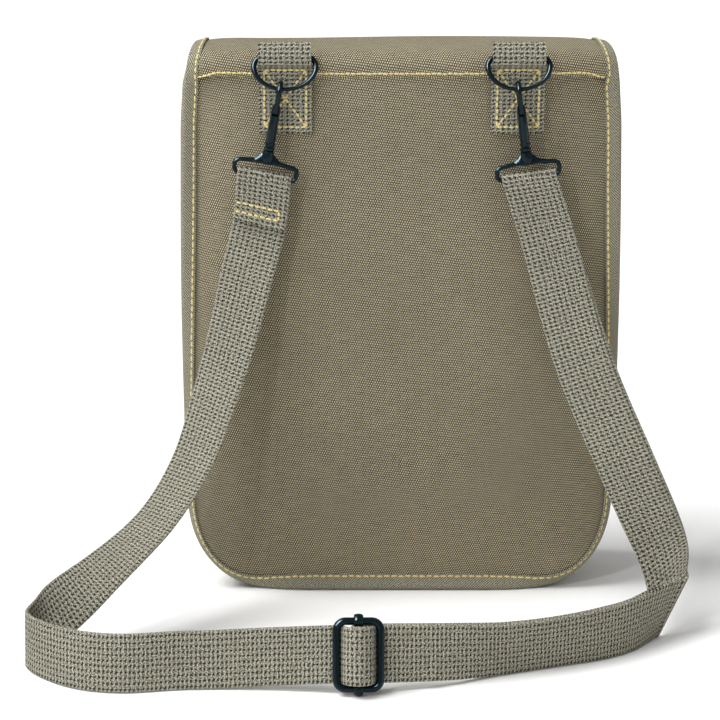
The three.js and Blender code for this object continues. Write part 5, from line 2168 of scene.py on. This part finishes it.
@dataclass
class Studio:
    """A white floor, soft light and the camera, in metres.

    A soft box is its place, its size and its power in watts.
    """

    floor_size: float = 160.0
    camera_at: Triple = (-0.0206, -1.136, 0.378)
    aim: Triple = (-0.0206, -0.036, 0.1245)
    lens: float = 110.67
    sensor: float = 36.0
    farthest: float = 200.0
    sky: float = 0.42
    sun_from: Triple = (-0.5, -0.12, 0.86)
    sun_power: float = 3.1
    sun_angle: float = 36.0
    lit: Triple = (0.0, 0.0, 0.13)
    key: tuple[Triple, float, float] = ((-0.7, -1.3, 1.0), 0.1, 5.0)
    gleam: tuple[Triple, float, float] = ((-0.72, -0.78, 0.92), 0.8, 80.0)

    def build(self, finishes: Finishes) -> None:
        """Sets up the floor, the lights and the camera."""
        bpy.ops.object.select_all(action="DESELECT")
        bpy.ops.mesh.primitive_grid_add(
            x_subdivisions=2, y_subdivisions=2, size=self.floor_size, location=(0, 0, 0)
        )
        floor = bpy.context.object
        floor.name = "studio_floor"
        bpy.ops.object.transform_apply(location=True, rotation=True, scale=True)
        floor.data.materials.append(finishes.floor)
        world = Graph(bpy.data.worlds.new("studio"))
        seen = world.make("ShaderNodeLightPath", {}, {}, "Is Camera Ray")
        white = {"Color": (1, 1, 1, 1), "Strength": seen * (1 - self.sky) + self.sky}
        world.make("ShaderNodeOutputWorld", {}, {"Surface": world.make("ShaderNodeBackground", {}, white)})
        bpy.context.scene.world = world.holder
        sun = bpy.data.lights.new("sun", "SUN")
        sun.energy = self.sun_power
        sun.angle = math.radians(self.sun_angle)
        self.stand(sun, (0.0, 0.0, 0.0), -Vector(self.sun_from))
        self.light("key", *self.key)
        gleam = self.light("gleam", *self.gleam)
        gleam.visible_diffuse = False
        gleam.visible_camera = False
        camera = bpy.data.cameras.new("camera")
        camera.sensor_width = self.sensor
        camera.lens = self.lens
        camera.clip_end = self.farthest
        way = Vector(self.aim) - Vector(self.camera_at)
        bpy.context.scene.camera = self.stand(camera, self.camera_at, way)
        bpy.context.scene.view_settings.view_transform = "Standard"

    @staticmethod
    def stand(data: Any, at: Triple, way: Vector) -> Piece:
        """Puts a light or the camera in its place.

        Args:
            data: The light or the camera.
            at: Its place.
            way: The way it looks.
        Returns:
            The object.
        """
        stand = bpy.data.objects.new(data.name, data)
        stand.location = at
        stand.rotation_euler = way.to_track_quat("-Z", "Y").to_euler()
        bpy.context.scene.collection.objects.link(stand)
        return stand

    def light(self, name: str, at: Triple, size: float, power: float) -> Piece:
        """Adds a soft box that faces the case.

        Args:
            name: Its name.
            at: Its place.
            size: Its size.
            power: Its power in watts.
        Returns:
            The light.
        """
        lamp = bpy.data.lights.new(name, "AREA")
        lamp.size = size
        lamp.energy = power
        return self.stand(lamp, at, Vector(self.lit) - Vector(at))


def main() -> None:
    """Builds the case's pieces in order."""
    logging.basicConfig(level=logging.INFO, format="%(name)s: %(message)s")
    finishes = Finishes()
    Studio().build(finishes)
    stitcher = Stitcher(finishes)
    back, front = CasePanels().build(finishes)
    flap = Flap()
    flap_edge, flap_rows = flap.build(finishes)
    EdgeTape().build(finishes, stitcher, back, front, flap_edge)
    TopSeam().build(stitcher, flap_rows)
    StrapTab().build(finishes, stitcher, flap)
    hook = SnapHook()
    hook.build(finishes)
    slider = StrapSlider()
    slider.build(finishes)
    ShoulderStrap().build(finishes, stitcher, hook, slider)
    PressStud().build(finishes)
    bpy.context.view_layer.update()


if __name__ == "__main__":
    main()
